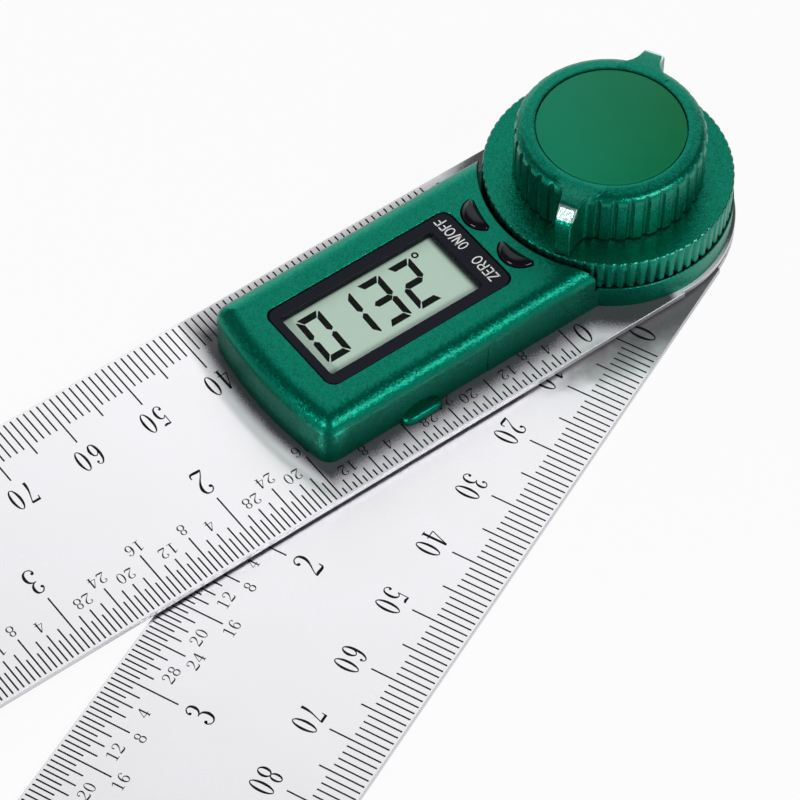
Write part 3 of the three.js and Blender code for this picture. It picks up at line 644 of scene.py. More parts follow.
def cross(radius, width, sides=96):
    """A plus-shaped recess, as points round its middle."""
    half = width / 2
    out = []
    for i in range(sides):
        t = 2 * math.pi * i / sides
        c, s = abs(math.cos(t)), abs(math.sin(t))
        far, near = max(c, s), min(c, s)
        reach = radius / far if near * radius / far <= half else half / near
        reach = max(reach if near > 1e-9 else radius, half * math.sqrt(2) if abs(c - s) < 0.03 else 0)
        reach = min(reach, radius * 1.02)
        out.append((reach * math.cos(t), reach * math.sin(t)))
    return out


for i, (x, y) in enumerate(CASE_SCREWS):
    shell = Shell(UPPER_LOW)
    skin = shell.loops(lambda r: circle(x, y, r, 96), SCREW_SKIN)
    sunk = shell.loops(lambda arm: [(x + a, y + b) for a, b in cross(*arm)], SCREW_CROSS)
    shell.wall(*skin)
    shell.wall(*sunk)
    shell.lid(skin[0], sunk[0])
    shell.lid(skin[-1])
    shell.lid(sunk[-1])
    screw = shell.piece(f"case_screw_{i + 1}", plated, "upper_arm")
    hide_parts(f"housing_screw_{i + 1}")


# Inside the housing
# A ring board under the wheel senses the angle, and its film cable runs to the main board, which
# carries the chip, two snap domes under the keys and the strip connector below the display.
def board_finish(where):
    warp = where.noise(0.004, 1.0)
    lines = (where.part(0) * 900 + warp * 6).wave() * (where.part(1) * 900 - warp * 5).wave()
    track = lines.rise(-0.02, 0.02)
    return {
        "Base Color": track.mix((0.012, 0.09, 0.035), (0.025, 0.16, 0.06)),
        "Roughness": 0.28 + track * 0.1,
        "Normal": track.bump(0.4, 0.00003),
    }


def film_finish(where):
    tracks = (where.part(1) * 9000).wave().rise(-0.2, 0.2)
    return {
        "Base Color": tracks.mix((0.36, 0.13, 0.02), (0.5, 0.24, 0.05)),
        "Roughness": 0.3 + tracks * 0.12,
    }


def zebra_finish(where):
    bands = (where.part(0) * 30000).wave().rise(-0.3, 0.3)
    return {"Base Color": bands.mix((0.45, 0.12, 0.18), (0.02, 0.02, 0.02)), "Roughness": 0.7 + bands * 0.1}


chip_black = mottled(
    "chip_black", {}, 0.0002, (0.012, 0.012, 0.013), (0.03, 0.03, 0.032), 0.5, 0.2, bump=(0.3, 0.00001),
)
give(surface("circuit_board", {}, board_finish), "main_board", "encoder_stator", "encoder_rotor")
give(chip_black, "controller_chip")
give(surface("cable_film", {}, film_finish), "encoder_ribbon")
give(surface("strip_rubber", {}, zebra_finish), "zebra_strip")
give(
    plated, "on_off_dome", "zero_dome", "contact_positive", "contact_negative", "board_screw_1",
    "board_screw_2", "retaining_nut", "wave_washer",
)


# The housing
# Injection moulded in green plastic filled with fine metal flake: a box with a rounded top edge, an
# arched free end, a hollow arc that clears the wheel, and a base ring round the pivot.
CASE_TOP = 7.6
CASE_CORNER = 2.1
CASE_WALL = 1.6
EDGE_WIDE = 2.7
EDGE_HIGH = 2.3
EDGE_STEPS = 14
ROOF_LOW = 6.3
WHEEL_ARC = 17.1
INNER_ARC = 18.3
BASE_RING = 16.75
RING_BORE = 15.2
RING_STEP = 16.5
RING_SEAT = 2.6
RING_TOP = 3.5
RING_EASE = 0.12
EDGE = 0.05
KEY_TURN = 12.4
KEY_GAP = 0.15
KEY_INNER = 18.6
KEY_BULGE = 20.85
KEY_HALF = 8.7


def case_sides(wall):
    """The outline from the near end of the -Y side, round the free end, to the near end of the +Y side."""
    half, end = CASE_HALF - wall, CASE_END - wall
    corner = max(CASE_CORNER - wall, 0.08)
    corner_y = half - corner
    corner_x = math.sqrt((end - corner) ** 2 - corner_y ** 2)
    tilt = math.degrees(math.asin(corner_y / (end - corner)))
    return [
        *arc(corner_x, -corner_y, corner, -90, -tilt, 10),
        *arc(0, 0, end, -tilt, tilt, 36)[1:-1],
        *arc(corner_x, corner_y, corner, tilt, 90, 10),
    ]


def near_arc(radius, half):
    """An arc about the pivot, from the +Y side of a width to the -Y side."""
    angle = math.degrees(math.asin(half / radius))
    return arc(0, 0, radius, angle, -angle, 40)


def key_outline(middle, grow, grow_inner=None):
    """A half-moon whose flat side follows an arc about the pivot."""
    grow_inner = grow if grow_inner is None else grow_inner
    half_chord = KEY_INNER * math.sin(math.radians(KEY_HALF))
    chord = KEY_INNER * math.cos(math.radians(KEY_HALF))
    rise = KEY_BULGE - chord
    bulge = (half_chord ** 2 + rise ** 2) / (2 * rise)
    centre = KEY_BULGE - bulge
    reach = math.degrees(math.acos((chord - centre) / bulge)) - 7
    inner = KEY_HALF - 1.2
    m = math.radians(middle)
    return [
        *arc(centre * math.cos(m), centre * math.sin(m), bulge + grow, middle - reach, middle + reach, 40),
        *arc(0, 0, KEY_INNER - grow_inner, middle + inner, middle - inner, 20),
    ]


def rounded_box(x0, x1, half, radius, steps=8):
    corners = ((x1 - radius, 1), (x0 + radius, 1), (x0 + radius, -1), (x1 - radius, -1))
    return [
        point
        for quarter, (x, side) in enumerate(corners)
        for point in arc(x, side * (half - radius), radius, 90 * quarter, 90 * quarter + 90, steps)
    ]


def carve(made, *cutters):
    """Cuts closed shells out of a piece, and shades it again."""
    for cutter in cutters:
        tool = cutter.piece("tool", made.data.materials[0], "upper_arm")
        tool.modifiers.clear()
        made.modifiers.clear()
        cut = made.modifiers.new("cut", "BOOLEAN")
        cut.object = tool
        cut.solver = "EXACT"
        cut.use_self = True
        bpy.context.view_layer.update()
        carved = bpy.data.meshes.new_from_object(made.evaluated_get(bpy.context.evaluated_depsgraph_get()))
        made.modifiers.clear()
        spent = [made.data, tool.data]
        made.data = carved
        bpy.data.objects.remove(tool)
        for mesh in spent:
            bpy.data.meshes.remove(mesh)
    settle(made)


def block(x0, x1, y0, y1, low, high):
    shell = Shell(DECK)
    corners = [(x0, y0), (x1, y0), (x1, y1), (x0, y1)]
    shell.solid(*[shell.loop(corners, height) for height in (low, high)])
    return shell


def flake_plastic(where):
    """Each flake is a cell with its own tilt, over a colour that drifts slightly."""
    cell = where.add("TexVoronoi", {}, {"Vector": where, "Scale": 6000.0}, "Color")
    tilt = cell.vector("MULTIPLY_ADD", (0.22, 0.22, 0.22), (-0.11, -0.11, -0.11))
    flake = cell.part(0)
    tone = (flake * 0.5 + where.noise(0.02) * 0.5).rise(0.2, 0.8)
    return {
        "Base Color": tone.mix((0.0005, 0.185, 0.115), (0.001, 0.225, 0.145)),
        "Roughness": 0.32 + flake * 0.1,
        "Normal": where.add("NewGeometry", {}, {}, "Normal").vector("ADD", tilt).vector("NORMALIZE"),
    }


def case_plastic(where):
    """The same plastic, rougher down the long sides where its flakes lie on edge, with those upright sides
    painted darker as painted shade and the gap round the wheel painted near black as painted shade.
    """
    plain = where.add("NewGeometry", {}, {}, "Normal")
    x = where.mm(0)
    upright = (1 - plain.part(2).size().rise(0.2, 0.6)) * plain.part(1).size().rise(0.5, 0.8)
    # Painted shade: the upright long sides are painted a darker green for the shade that falls on them, and
    # made rougher.
    shaded_long_sides = upright * x.rise(14.0, 17.0) * (1 - x.rise(51.0, 52.8))
    # Painted shade: the wall in the gap round the wheel is painted near black, for the shadow in it.
    gap_shade = (1 - where.from_axis().rise(17.15, 17.3)) * where.mm(2).rise(DECK + 3.3, DECK + 3.6)
    made = flake_plastic(where)
    colour = shaded_long_sides.mix(made["Base Color"], (0.0004, 0.14, 0.087))
    made["Base Color"] = gap_shade.mix(colour, (0.0, 0.012, 0.008))
    made["Roughness"] = made["Roughness"] + shaded_long_sides * 0.18
    return made


FLAKE_SETTINGS = {
    "Metallic": 0.92, "Specular IOR Level": 0.1, "Specular Tint": (1.0, 1.0, 1.0), "Coat Weight": 0.05,
    "Coat Roughness": 0.15,
}
flake_green = surface("flake_green", FLAKE_SETTINGS, flake_plastic)
case_green = surface("case_green", FLAKE_SETTINGS, case_plastic)

shell = Shell(DECK)
ring_angle = math.degrees(math.asin(CASE_HALF / BASE_RING))
ring_points = arc(0, 0, BASE_RING, ring_angle, 360 - ring_angle, 140)
near_up = near_arc(WHEEL_ARC, CASE_HALF)
outer_points = [(near_up[0][0], -CASE_HALF), *case_sides(0), near_up[0]]
foot = shell.loop(outer_points + ring_points, 0)
sides_at_ring = shell.loop(outer_points, RING_TOP)
ring_edge = shell.loop(ring_points, RING_TOP - RING_EASE)
ring_top = shell.loop(arc(0, 0, BASE_RING - RING_EASE, ring_angle, 360 - ring_angle, 140), RING_TOP)
shell.wall(foot, sides_at_ring + ring_edge)
shell.wall(ring_edge, ring_top, closed=False)
shell.faces.append((sides_at_ring[-1], ring_edge[0], ring_top[0]))
shell.faces.append((sides_at_ring[0], ring_top[-1], ring_edge[-1]))
near_ids = shell.loop(near_up[1:-1], RING_TOP)
bore = shell.loops(lambda r: circle(0, 0, r, 140), (
    (RING_BORE, 0), (RING_BORE, RING_SEAT), (RING_STEP, RING_SEAT), (RING_STEP, RING_TOP)
))
shell.wall(*bore)
shell.lid([sides_at_ring[-1], *ring_top, sides_at_ring[0], *reversed(near_ids)], bore[-1])
rows = [sides_at_ring + near_ids]
for k in range(EDGE_STEPS + 1):
    t = math.radians(90 * k / EDGE_STEPS)
    wall = EDGE_WIDE * (1 - math.cos(t))
    height = CASE_TOP - EDGE_HIGH * (1 - math.sin(t))
    near = near_arc(WHEEL_ARC + max(0.0, height - CASE_TOP + EDGE), CASE_HALF - wall)
    rows.append(shell.loop([(near[-1][0], wall - CASE_HALF), *case_sides(wall), *near[:-1]], height))
shell.wall(*rows)
hole_steps = ((0.0, ROOF_LOW), (0.0, CASE_TOP - EDGE), (EDGE, CASE_TOP))
holes = [shell.loops(outline, hole_steps) for outline in (
    lambda g: rounded_box(21.05 - g, 50.3 + g, 7.4 + g, 1.5 + g),
    lambda g: key_outline(KEY_TURN, KEY_GAP + g),
    lambda g: key_outline(-KEY_TURN, KEY_GAP + g),
)]
for hole in holes:
    shell.wall(*hole)
cavity_points = [*case_sides(CASE_WALL), *near_arc(INNER_ARC, CASE_HALF - CASE_WALL)]
cavity = [shell.loop(cavity_points, height) for height in (0.0, ROOF_LOW)]
shell.wall(*cavity)
shell.lid(rows[-1], *[hole[-1] for hole in holes])
shell.lid(cavity[1], *[hole[0] for hole in holes])
shell.lid(foot, bore[0], cavity[0])
case = shell.piece("case", case_green, "upper_arm")
drawer_slot = block(29.22, 50.88, 10.0, 13.5, -1, 4.78)
cable_slot = block(14.5, 18.8, -2.7, 2.7, -1, 1.5)
carve(case, drawer_slot, cable_slot)
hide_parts("housing")

shell = Shell(DECK)
for x, y, radius, hole, low in (
    *((x, y, 1.7, 0.95, 0.0) for x, y in CASE_SCREWS), *((27.0, y, 1.2, 0.75, 4.85) for y in (9.3, -9.3))
):
    boss_steps = ((hole, 5.6), (hole, low), (radius, low), (radius, ROOF_LOW + 0.1))
    shell.stack(lambda r: circle(x, y, r), boss_steps)
bosses = shell.piece("case_bosses", flake_green, "upper_arm")


# The battery tray
# A moulded drawer in the same green: its floor holds a coin cell, and its door closes the slot in the
# housing's side. A small lip with a scoop above it is pulled with a fingernail.
TRAY_MIDDLE = 40.05
TRAY_HALF = 10.8
LIP_HALF = 3.05
LIP_REACH = 1.4
LIP_ROOT = 0.6


def lip_plan(share):
    """The lip seen from above, drawn in to a share of its size: a flattened half oval."""
    half, root = LIP_HALF * share, CASE_HALF - LIP_ROOT
    plan = [(TRAY_MIDDLE - half, root), (TRAY_MIDDLE + half, root)]
    for t in np.radians(np.arange(0, 181, 6)):
        across = math.copysign(abs(math.cos(t)) ** 0.6, math.cos(t))
        plan.append((TRAY_MIDDLE + half * across, CASE_HALF + LIP_REACH * share ** 0.8 * math.sin(t) ** 0.6))
    return plan


def tray_slab(half, radius, middle, heights, steps=8):
    """A flat block as long as the tray, with rounded corners, half to each side of a line."""
    plan = rounded_box(TRAY_MIDDLE - TRAY_HALF, TRAY_MIDDLE + TRAY_HALF, half, radius, steps)
    shell = Shell(DECK)
    shell.solid(*[shell.loop([(x, y + middle) for x, y in plan], height) for height in heights])
    return shell


def ball(x, y, z, a, b, c, rings=24):
    """An egg shape about a point, with its half sizes a, b and c."""
    turns = [math.pi * k / rings for k in range(1, rings)]
    return Shell().stack(
        lambda s: [(x + a * s * u, y + b * s * v) for u, v in circle(0, 0, 1)],
        [(math.sin(t), z - c * math.cos(t)) for t in turns],
    )


tray = tray_slab(10.2, 0.4, 0.6, (0.15, 0.65)).piece("tray", flake_green, "battery_drawer")
front = tray_slab(0.85, 0.1, 11.6, (0.15, 4.75), 3).piece("tray_door", case_green, "battery_drawer")
lip_steps = [(0.97, 0.15), (1.0, 0.25)]
lip_steps += [(math.cos(t) ** 0.45, 0.45 + 0.95 * math.sin(t)) for t in np.radians(np.arange(0, 86, 5))]
lip = Shell(DECK).stack(lip_plan, lip_steps).piece("tray_lip", flake_green, "battery_drawer")
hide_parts("battery_tray")
carve(front, ball(TRAY_MIDDLE, CASE_HALF, DECK + 0.1, LIP_HALF, 0.75, 2.35))
give(plated, "coin_cell")


# The keys
# Two glossy black half-moons, polished in the mould, which stand a little proud of the roof. A flange
# under the roof keeps each one in.
KEY_MIDDLE = 19.62
KEY_FLANGE = (5.75, 6.2)
KEY_SHOULDER = 7.65
KEY_DOME = 0.55
key_black = mottled(
    "key_black", {"Specular IOR Level": 0.3}, 0.0008, (0.004, 0.003, 0.007), (0.008, 0.006, 0.012),
    0.08, 0.06, bump=(0.08, 0.00001), grain=(0.0006, 1.0),
)
for name, middle in (("on_off", -KEY_TURN), ("zero", KEY_TURN)):
    shell = Shell(DECK)
    m = math.radians(middle)
    centre = np.array([math.cos(m), math.sin(m)]) * KEY_MIDDLE
    outline = np.array(key_outline(middle, 0.0))
    rows = [shell.loop(key_outline(middle, 0.5, 0.2), height) for height in KEY_FLANGE]
    rows.append(shell.loop(outline, KEY_FLANGE[1]))
    for k in range(13):
        t = math.radians(90 * k / 12)
        share = math.cos(t) ** 0.8 if k < 12 else 0.02
        rows.append(shell.loop(centre + (outline - centre) * share, KEY_SHOULDER + KEY_DOME * math.sin(t)))
    shell.solid(*rows)
    key = shell.piece(f"{name}_key_cap", key_black, f"{name}_key", crease=40)
    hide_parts(f"{name}_button")


# The display
# A black frame with a clear lens set in it, over a glass cell with a pale grey-green reflector. The
# segments that are on show black.
FRAME_TOP = 7.5
CELL_TOP = 6.4
bezel_black = mottled(
    "bezel_black", {"Specular IOR Level": 0.08}, 0.00025, (0.007, 0.009, 0.015), (0.012, 0.014, 0.024),
    0.32, 0.1, bump=(0.15, 0.000006),
)
shell = Shell(DECK)
rim = shell.loops(
    lambda e: rounded_box(21.2 + e, 50.15 - e, 7.25 - e, 1.5 - e),
    ((0, 6.45), (0, 7.38), (0.03, 7.45), (0.1, FRAME_TOP)),
)
opening = shell.loops(
    lambda g: rounded_box(24.9 - g, 48.9 + g, 5.55 + g, 0.35 + g),
    ((0, 6.45), (0, 7.42), (0.08, FRAME_TOP)),
)
shell.wall(*rim)
shell.wall(*opening)
shell.lid(rim[0], opening[0])
shell.lid(rim[-1], opening[-1])
display_frame = shell.piece("display_frame", bezel_black, "upper_arm")
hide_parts("bezel")


def cell_face(where):
    mottle = where.noise(0.0006)
    # Painted shadow: the reflector is painted nearly black along its pivot-side and -Y edges, for the frame's
    # shadow on it.
    edge = where.mm(0).rise(24.75, 25.9) * where.mm(1).rise(-5.75, -5.2)
    lit = mottle.mix((0.68, 0.885, 0.76), (0.705, 0.925, 0.785))
    return {"Base Color": edge.mix((0.02, 0.03, 0.025), lit), "Roughness": 0.45 + mottle * 0.1}


display_glass = surface("display_glass", {"Specular IOR Level": 0.05}, cell_face)
shell = Shell(DECK)
for x0, low, high in ((22.3, 5.55, 5.98), (23.5, 5.98, CELL_TOP)):
    shell.stack(
        lambda e: rounded_box(x0 + e, 49.3 - e, 6.4 - e, 0.12, 3),
        ((0.04, low), (0, low + 0.04), (0, high - 0.04), (0.04, high)),
    )
cell = shell.piece("display_cell", display_glass, "upper_arm")
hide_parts("lcd_panel")

DIGIT_WIDE, DIGIT_HIGH, DIGIT_MID = 3.68, 7.9, 4.05
DIGITS = ((29.55, "abged"), (34.4, "abgcd"), (39.15, "bc"), (43.97, "abcdef"))
LEAN = 0.04
SEGMENTS = {
    "d": [(0.3, 0), (DIGIT_WIDE - 0.3, 0), (DIGIT_WIDE - 0.88, 1.0), (0.88, 1.0)],
    "e": [
        (0.0, 0.3), (0.16, 0.24), (0.88, 1.15), (0.88, DIGIT_MID - 0.6), (0.4, DIGIT_MID - 0.1),
        (0.0, DIGIT_MID - 0.45),
    ],
    "g": [
        (0.42, DIGIT_MID), (0.86, DIGIT_MID + 0.5), (DIGIT_WIDE - 0.86, DIGIT_MID + 0.5),
        (DIGIT_WIDE - 0.42, DIGIT_MID), (DIGIT_WIDE - 0.86, DIGIT_MID - 0.5), (0.86, DIGIT_MID - 0.5),
    ],
}
SEGMENTS["a"] = [(x, DIGIT_HIGH - y) for x, y in SEGMENTS["d"]]
SEGMENTS["f"] = [(x, 2 * DIGIT_MID - y if y > 2 else DIGIT_HIGH - y) for x, y in SEGMENTS["e"]]
SEGMENTS["c"] = [(DIGIT_WIDE - x, y) for x, y in SEGMENTS["e"]]
SEGMENTS["b"] = [(DIGIT_WIDE - x, y) for x, y in SEGMENTS["f"]]
ink = Ink(DECK + CELL_TOP)
for left, lit in DIGITS:
    for name in lit:
        ink.patch([(left + DIGIT_WIDE - x - LEAN * y, 3.36 - y) for x, y in SEGMENTS[name]])
ink.stroke(circle(28.4, -4.28, 0.5, 32), circle(28.4, -4.28, 0.24, 32))
liquid_black = mottled(
    "liquid_black", {"Specular IOR Level": 0.05}, 0.0004, (0.006, 0.008, 0.007), (0.012, 0.015, 0.013),
    0.35, 0.1,
)
ink.painted("display_digits", liquid_black, "upper_arm")

lens = Shell(DECK).stack(
    lambda e: rounded_box(25.05 + e, 48.75 - e, 5.4 - e, 0.4),
    ((0.03, 6.5), (0, 6.53), (0, 7.09), (0.06, 7.15)),
)
clear = surface("clear_lens", {"Base Color": (0.02, 0.02, 0.02)}, lambda where: {
    "Roughness": 0.03 + where.noise(0.002) * 0.03,
})


def blend(material, factor, first, second):
    """Shows a mix of two shaders on a material, the second where the factor is 1."""
    mixed = factor.add("MixShader", {}, {0: factor, 1: first, 2: second})
    put(material.node_tree.nodes["Material Output"].inputs["Surface"], mixed)


gloss = Wire(clear.node_tree.nodes["Principled BSDF"].outputs[0])
glance = gloss.add("LayerWeight", {}, {"Blend": 0.08}, "Fresnel")
blend(clear, glance, gloss.add("BsdfTransparent", {}, {}), gloss)
window = lens.piece("lens", clear, "upper_arm")
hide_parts("display_window")


# The words beside the keys
# ZERO and ON/OFF, pad printed in white ink on the black frame, and read from the frame's +Y side.
# Each letter is a few straight bars in a unit square, with a ring for O and a bow for R.
LETTERS = {
    "Z": [(0, 0.94, 1, 0.94), (0.93, 0.94, 0.07, 0.06), (0, 0.06, 1, 0.06)],
    "E": [(0.1, 0, 0.1, 1), (0.1, 0.94, 1, 0.94), (0.1, 0.52, 0.9, 0.52), (0.1, 0.06, 1, 0.06)],
    "R": [(0.1, 0, 0.1, 1), (0.1, 0.94, 0.6, 0.94), (0.1, 0.48, 0.6, 0.48), (0.5, 0.48, 0.95, 0.0)],
    "N": [(0.1, 0, 0.1, 1), (0.1, 0.95, 0.9, 0.05), (0.9, 0, 0.9, 1)],
    "F": [(0.1, 0, 0.1, 1), (0.1, 0.94, 1, 0.94), (0.1, 0.5, 0.85, 0.5)],
    "/": [(0.0, -0.06, 1.0, 1.06)],
    "O": [],
}
LETTER_WIDE = 0.19
LETTER_FOOT = 22.17
LETTER_HIGH = 1.61
WORDS = (
    ("Z", 5.67, 4.78), ("E", 4.55, 3.72), ("R", 3.5, 2.53), ("O", 2.33, 1.28), ("O", -0.74, -1.56),
    ("N", -1.78, -2.67), ("/", -2.83, -3.22), ("O", -3.44, -4.5), ("F", -4.67, -5.47), ("F", -5.69, -6.5),
)

ink = Ink(DECK + FRAME_TOP)
for letter, top, bottom in WORDS:
    def placed(x, y):
        return np.array((LETTER_FOOT + LETTER_HIGH * y, top + (bottom - top) * x))

    for x0, y0, x1, y1 in LETTERS[letter]:
        ink.bar(placed(x0, y0), placed(x1, y1), LETTER_WIDE)
    if letter == "O":
        turns = np.radians(np.arange(0, 360, 15))
        ring = np.array([placed(0.5 + 0.41 * math.cos(t), 0.5 + 0.44 * math.sin(t)) for t in turns])
        inward = placed(0.5, 0.5) - ring
        inward *= LETTER_WIDE / 2 / np.linalg.norm(inward, axis=1)[:, None]
        ink.stroke(ring - inward, ring + inward)
    if letter == "R":
        turns = np.radians(np.arange(0, 181, 20))
        bow = np.array([placed(0.6 + 0.3 * math.sin(t), 0.71 + 0.23 * math.cos(t)) for t in turns])
        ink.line(bow, LETTER_WIDE, False)
white_print = mottled("white_print", {}, 0.0002, (0.9, 0.9, 0.91), (0.96, 0.96, 0.96), 0.45, 0.1)
ink.painted("key_words", white_print, "upper_arm")


# The serrated wheel
# Moulded in the same green and keyed to the hub, so that it turns with the lower rule: narrow grooves
# all round its rim over a plain ledge, and a sunk seat for the spring washer and the nut.
TEETH = 74
WHEEL_RIM = 16.5
WHEEL_TOP = 8.05
WHEEL_FLAT = 5.3
GROOVE_HALF = 0.29
GROOVE_DEEP = ((3.6, 4.2, 6.0, 7.7), (0.46, 0.36, 0.25, 0.13))


def wheel_radius(turn, height):
    """The rim's radius: plain lands with sharp grooves between them, deeper at their feet."""
    phase = (turn * TEETH / (2 * math.pi)) % 1.0
    groove = np.clip(1 - np.abs(phase - 0.5) / GROOVE_HALF, 0, 1)
    return WHEEL_RIM - np.interp(height, *GROOVE_DEEP) * groove


def polar(turns, steps):
    """A shell with a loop at each (radius, height) of the steps, the radius one or one at each turn."""
    shell = Shell(DECK)
    ways = np.stack([np.cos(turns), np.sin(turns)], 1)
    return shell, shell.loops(lambda radius: ways * np.reshape(radius, (-1, 1)), steps)


def wheel_plastic(where):
    """The same plastic, rubbed glossy along the top edge of the teeth."""
    edge = where.from_axis().rise(16.2, 16.26) * where.mm(2).rise(DECK + 7.82, DECK + 7.9)
    return {**flake_plastic(where), "Coat Weight": 0.05 + edge * 0.45}


turns = np.arange(TEETH * 12) * 2 * math.pi / (TEETH * 12)
keyed = np.minimum(BORE, WHEEL_FLAT / np.maximum(np.abs(np.cos(turns)), 1e-6))
rim = [(0.05, 3.55), *((0, h) for h in (3.6, 3.9, 4.05, 4.4, 5.5, 6.6, 7.8)), (0.05, 7.94), (0.2, WHEEL_TOP)]
shell, rows = polar(turns, [
    (keyed, 4.0), (8.85, 4.0), (8.85, 5.6), (14.9, 5.6), (14.9, 3.55),
    *((wheel_radius(turns, h) - ease, h) for ease, h in rim),
    (15.6, WHEEL_TOP), (8.3, WHEEL_TOP), (8.2, 7.95), (8.2, 6.2), (keyed, 6.2),
])
shell.wall(*rows, rows[0])
wheel_green = surface("wheel_green", FLAKE_SETTINGS, wheel_plastic)
wheel = shell.piece("wheel", wheel_green, "lower_arm", LOWER_TURN)
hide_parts("serrated_wheel")


# The lock knob
# A fluted green drum with two wings that stand out opposite each other, moulded over a brass bush
# that is threaded onto the hub's stud. A domed green disc is snapped into its top.
KNOB_LOW = 8.3
KNOB_TOP = 16.2
FLUTES = 36
FLUTE_TURN = math.radians(3.4)
FLUTE_RADIUS = 0.47
FLUTE_MIDDLE = 12.58
WING_TURN = math.radians(29)
WING_ROUND = 0.3
WING_BACK = (
    (8.0, 16.3), (13.4, 16.25), (13.9, 16.05), (14.15, 15.85), (15.6, 14.7), (15.85, 13.9), (15.98, 13.0),
    (16.08, 11.6), (16.2, 10.05),
)
WING_WIDTHS = ((10.5, 11.5, 12.0, 12.6, 13.2, 14.0, 15.2, 17), (3.8, 2.6, 2.1, 1.68, 1.44, 1.28, 1.18, 1.08))
SHOULDER = [(14.75 + 1.3 * math.sin(t), 11.2 + 1.3 * math.cos(t)) for t in np.radians(np.arange(0, 81, 8))]
SHOULDER += [(16.09, 11.0), (16.15, 10.5), (16.2, 10.05)]
DISC = 9.8
DISC_DOME = 0.7


def wing_radius(turn, height, ease):
    """How far a wing reaches along a ray, or 0 where the ray misses it."""
    tip = np.interp(height, *zip(*WING_BACK)) - ease
    off = np.abs((turn - WING_TURN + math.pi / 2) % math.pi - math.pi / 2)
    xs = np.linspace(10.5, 16.3, 400)
    xs = xs[xs <= tip]
    corner = np.clip(xs - (tip - WING_ROUND), 0, WING_ROUND)
    rounded = WING_ROUND - np.sqrt(np.maximum(WING_ROUND ** 2 - corner ** 2, 0))
    half = np.interp(xs, *WING_WIDTHS) - ease - rounded
    out = np.zeros_like(turn)
    for i in np.flatnonzero(off <= 0.4):
        inside = xs * math.tan(off[i]) <= half
        if inside.any():
            out[i] = xs[inside][-1] / math.cos(off[i])
    return out


def soft_max(a, b, fillet):
    """The larger of two radii, with a hollow fillet where they cross."""
    share = np.clip(0.5 + 0.5 * (a - b) / fillet, 0, 1)
    return b + (a - b) * share + fillet * share * (1 - share)


def drum_radius(turn, height, ease):
    """The drum's rim: an upright side, a round shoulder, and a top that falls gently outward."""
    radius = np.interp(height, *zip(*SHOULDER)) - ease
    pitch = 2 * math.pi / FLUTES
    off = (turn - FLUTE_TURN + pitch / 2) % pitch - pitch / 2
    reach = FLUTE_RADIUS ** 2 - (FLUTE_MIDDLE * np.sin(off)) ** 2
    groove = np.where(reach > 0, FLUTE_MIDDLE * np.cos(off) - np.sqrt(np.maximum(reach, 0)), 99.0)
    return np.minimum(radius, groove)


def knob_plastic(where):
    """The same plastic, worn glossy on the sloping ends of the wings, which are also painted pale as a
    painted highlight.
    """
    out = (where.part(0) * math.cos(WING_TURN) + where.part(1) * math.sin(WING_TURN)).size() / MM
    height = where.mm(2)
    end = out.rise(14.3, 14.4) * height.rise(DECK + 14.25, DECK + 14.4)
    shoulder = height.rise(DECK + 14.6, DECK + 15.0) * where.from_axis().rise(11.2, 11.6)
    made = flake_plastic(where)
    # Painted highlight: the wing ends are painted a pale mint, standing in for the white glint of the lamp
    # past the free end.
    made["Base Color"] = (end * 0.85).mix(made["Base Color"], (0.6, 0.8, 0.77))
    made["Coat Weight"] = 0.05 + end.larger(shoulder * 0.15) * 0.95
    return made


def disc_green(where):
    """Glossy, and painted paler across the disc from one side to the other, as a painted gradient of light.
    """
    cloud = where.noise(0.006)
    across = (where.part(0) * 0.8 - where.part(1) * 0.6) / MM
    return {
        # Painted light: the base colour grows paler towards one side of the disc, for the light and
        # reflection falling on that side.
        "Base Color": (across + cloud * 4).rise(-10.0, 12.0).mix((0.0002, 0.18, 0.06), (0.002, 0.25, 0.13)),
        "Roughness": 0.14 + cloud * 0.08,
        "Normal": where.noise(0.0012).bump(0.05, 0.00002),
    }


fine = np.arange(FLUTES * 30) * 2 * math.pi / (FLUTES * 30)
extra = [WING_TURN + side * math.pi + np.radians(np.arange(-14, 14.01, 0.12)) for side in (0, 1)]
turns = np.unique(np.round(np.concatenate([fine, *extra]) % (2 * math.pi), 6))
heights = [KNOB_LOW + 0.12, 10.0, 12.0, 13.4, *np.arange(13.8, 14.86, 0.1)]
heights += [height for height, _ in (*WING_BACK[1:-1], *SHOULDER[1:-1])]
steps = [(5.6, 14.1), (5.6, KNOB_LOW)]
for ease, height in [(0.12, KNOB_LOW), *((0.0, height) for height in sorted(heights))]:
    wing = wing_radius(turns, height, ease + 0.15 * max(0.0, (height - 15.7) / 0.5) ** 2)
    steps.append((soft_max(drum_radius(turns, height, ease), wing, 0.35), height))
steps += [(10.05, KNOB_TOP - 0.01), (9.97, KNOB_TOP - 0.05), (9.95, KNOB_TOP - 0.15), (9.95, 15.4)]
shell, rows = polar(turns, steps)
shell.solid(*rows)
knob = shell.piece("knob", surface("knob_green", FLAKE_SETTINGS, knob_plastic), "lock_knob", crease=32)
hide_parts("lock_knob")

steps = [(9.7, 15.45), (DISC, 15.55), (DISC, 16.02), (9.74, 16.12)]
steps += [
    (DISC * share, KNOB_TOP - 0.1 + DISC_DOME * (1 - share ** 2)) for share in np.linspace(0.985, 0.02, 24)
]
shell, rows = polar(np.radians(np.arange(0, 360, 2.5)), steps)
shell.solid(*rows)
green_disc = surface("green_disc", {"Specular IOR Level": 0.1}, disc_green)
disc = shell.piece("knob_disc", green_disc, "lock_knob", crease=40)
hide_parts("knob_label")

brass = mottled(
    "brass", {"Metallic": 1.0}, 0.0015, (0.62, 0.4, 0.13), (0.8, 0.56, 0.24), 0.25, 0.15,
    bump=(0.2, 0.000005), detail=3.0, grain=(0.0001, 2.0),
)
give(brass, "knob_insert")


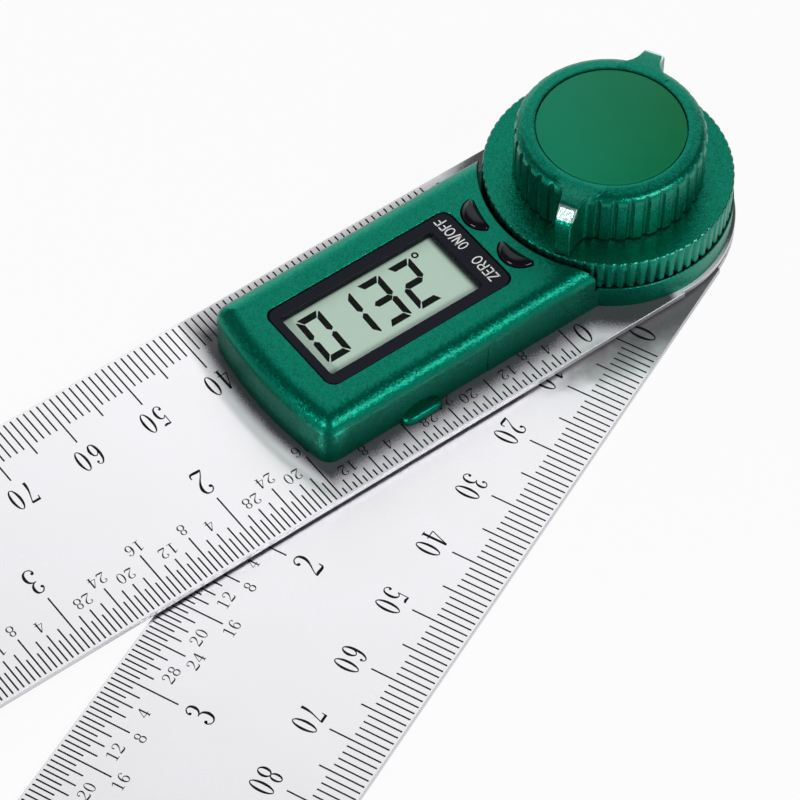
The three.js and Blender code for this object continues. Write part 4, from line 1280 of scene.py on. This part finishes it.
# The studio
# The angle finder lies on a white table in a pale room. A wide softbox stands on the rules' +Y side,
# a smaller and brighter one past their free ends, and a large dim one on the -Y side.
TABLE_LOW = -0.02
SEEN_WHITE = 0.93

floor_mesh = bpy.data.meshes.new("table_top")
sheet = bmesh.new()
bmesh.ops.create_circle(sheet, cap_ends=True, segments=96, radius=4.0)
sheet.to_mesh(floor_mesh)
sheet.free()
floor = added("table_top", floor_mesh)
floor.location.z = TABLE_LOW * MM
paper = surface(
    "white_paper", {"Base Color": (0.85, 0.85, 0.85), "Roughness": 0.9, "Specular IOR Level": 0.0},
    lambda where: {},
)
matt = Wire(paper.node_tree.nodes["Principled BSDF"].outputs[0])
ray_kinds = ("Is Camera Ray", "Is Glossy Ray", "Is Transmission Ray")
camera_ray, glossy_ray, clear_ray = [matt.add("LightPath", {}, {}, kind) for kind in ray_kinds]
seen = (camera_ray + glossy_ray + clear_ray).rise(0.0, 1.0) * SEEN_WHITE
blend(paper, seen, matt, matt.add("Emission", {}, {"Strength": 1.0}))
floor_mesh.materials.append(paper)

world = bpy.context.scene.world or bpy.data.worlds.new("room")
bpy.context.scene.world = world
world.use_nodes = True
background = world.node_tree.nodes["Background"]
put(background.inputs["Color"], (1, 1, 1))
sky = Wire(world.node_tree.nodes.new("ShaderNodeTexCoord").outputs["Generated"])


def toward(direction, low, high):
    """1 close to a direction and 0 away from it."""
    return sky.vector("DOT_PRODUCT", direction, out="Value").rise(low, high)


back = toward((0, -1, 0), 0.08, 0.42) * toward((-1, 0, 0), -0.08, 0.32)
horizon = 1 - toward((0, 0, 1), 0.05, 0.5)
put(background.inputs["Strength"], 0.07 + back * 1.06 + horizon * 0.3)


def softbox(name, azimuth, elevation, width, height, radiance):
    """A rectangular lamp in metres, turned to the housing, with its angles in degrees."""
    a, e = math.radians(azimuth), math.radians(elevation)
    way = Vector((math.cos(a) * math.cos(e), math.sin(a) * math.cos(e), math.sin(e)))
    lamp = bpy.data.lights.new(name, "AREA")
    lamp.shape = "RECTANGLE"
    lamp.size = width
    lamp.size_y = height
    lamp.energy = radiance * math.pi * width * height
    made = added(name, lamp)
    made.location = Vector((0.02, 0.0, 0.0)) + way * 1.4
    made.rotation_euler = way.to_track_quat("Z", "Y").to_euler()


softbox("softbox_side", 104, 40, 0.75, 0.34, 10.5)
softbox("softbox_end", 3, 32, 0.45, 0.25, 18.0)
softbox("softbox_far", -90, 24, 1.0, 0.5, 1.0)

# The camera
# Its place, its three directions and its focal length in pixels were fitted to the photograph by the
# rules' tick marks, whose real spacing is known.
SENSOR = 36.0
PICTURE_PIXELS = 800.0
FOCAL_PIXELS = 4028.984552
PLACE = (0.22901048, 0.25460391, 0.41148278)
RIGHT = Vector((-0.80001854, 0.59992013, 0.00813422))
DOWN = Vector((0.47492408, 0.64149939, -0.60243311))
AHEAD = Vector((-0.36662985, -0.47809452, -0.79812792))

camera_data = bpy.data.cameras.new("camera")
camera_data.sensor_width = SENSOR
camera_data.lens = FOCAL_PIXELS * SENSOR / PICTURE_PIXELS
camera = added("camera", camera_data)
aim = Matrix((RIGHT, -DOWN, -AHEAD)).transposed().to_4x4()
camera.matrix_world = Matrix.Translation(PLACE) @ aim
bpy.context.scene.camera = camera
bpy.context.scene.view_settings.view_transform = "Standard"
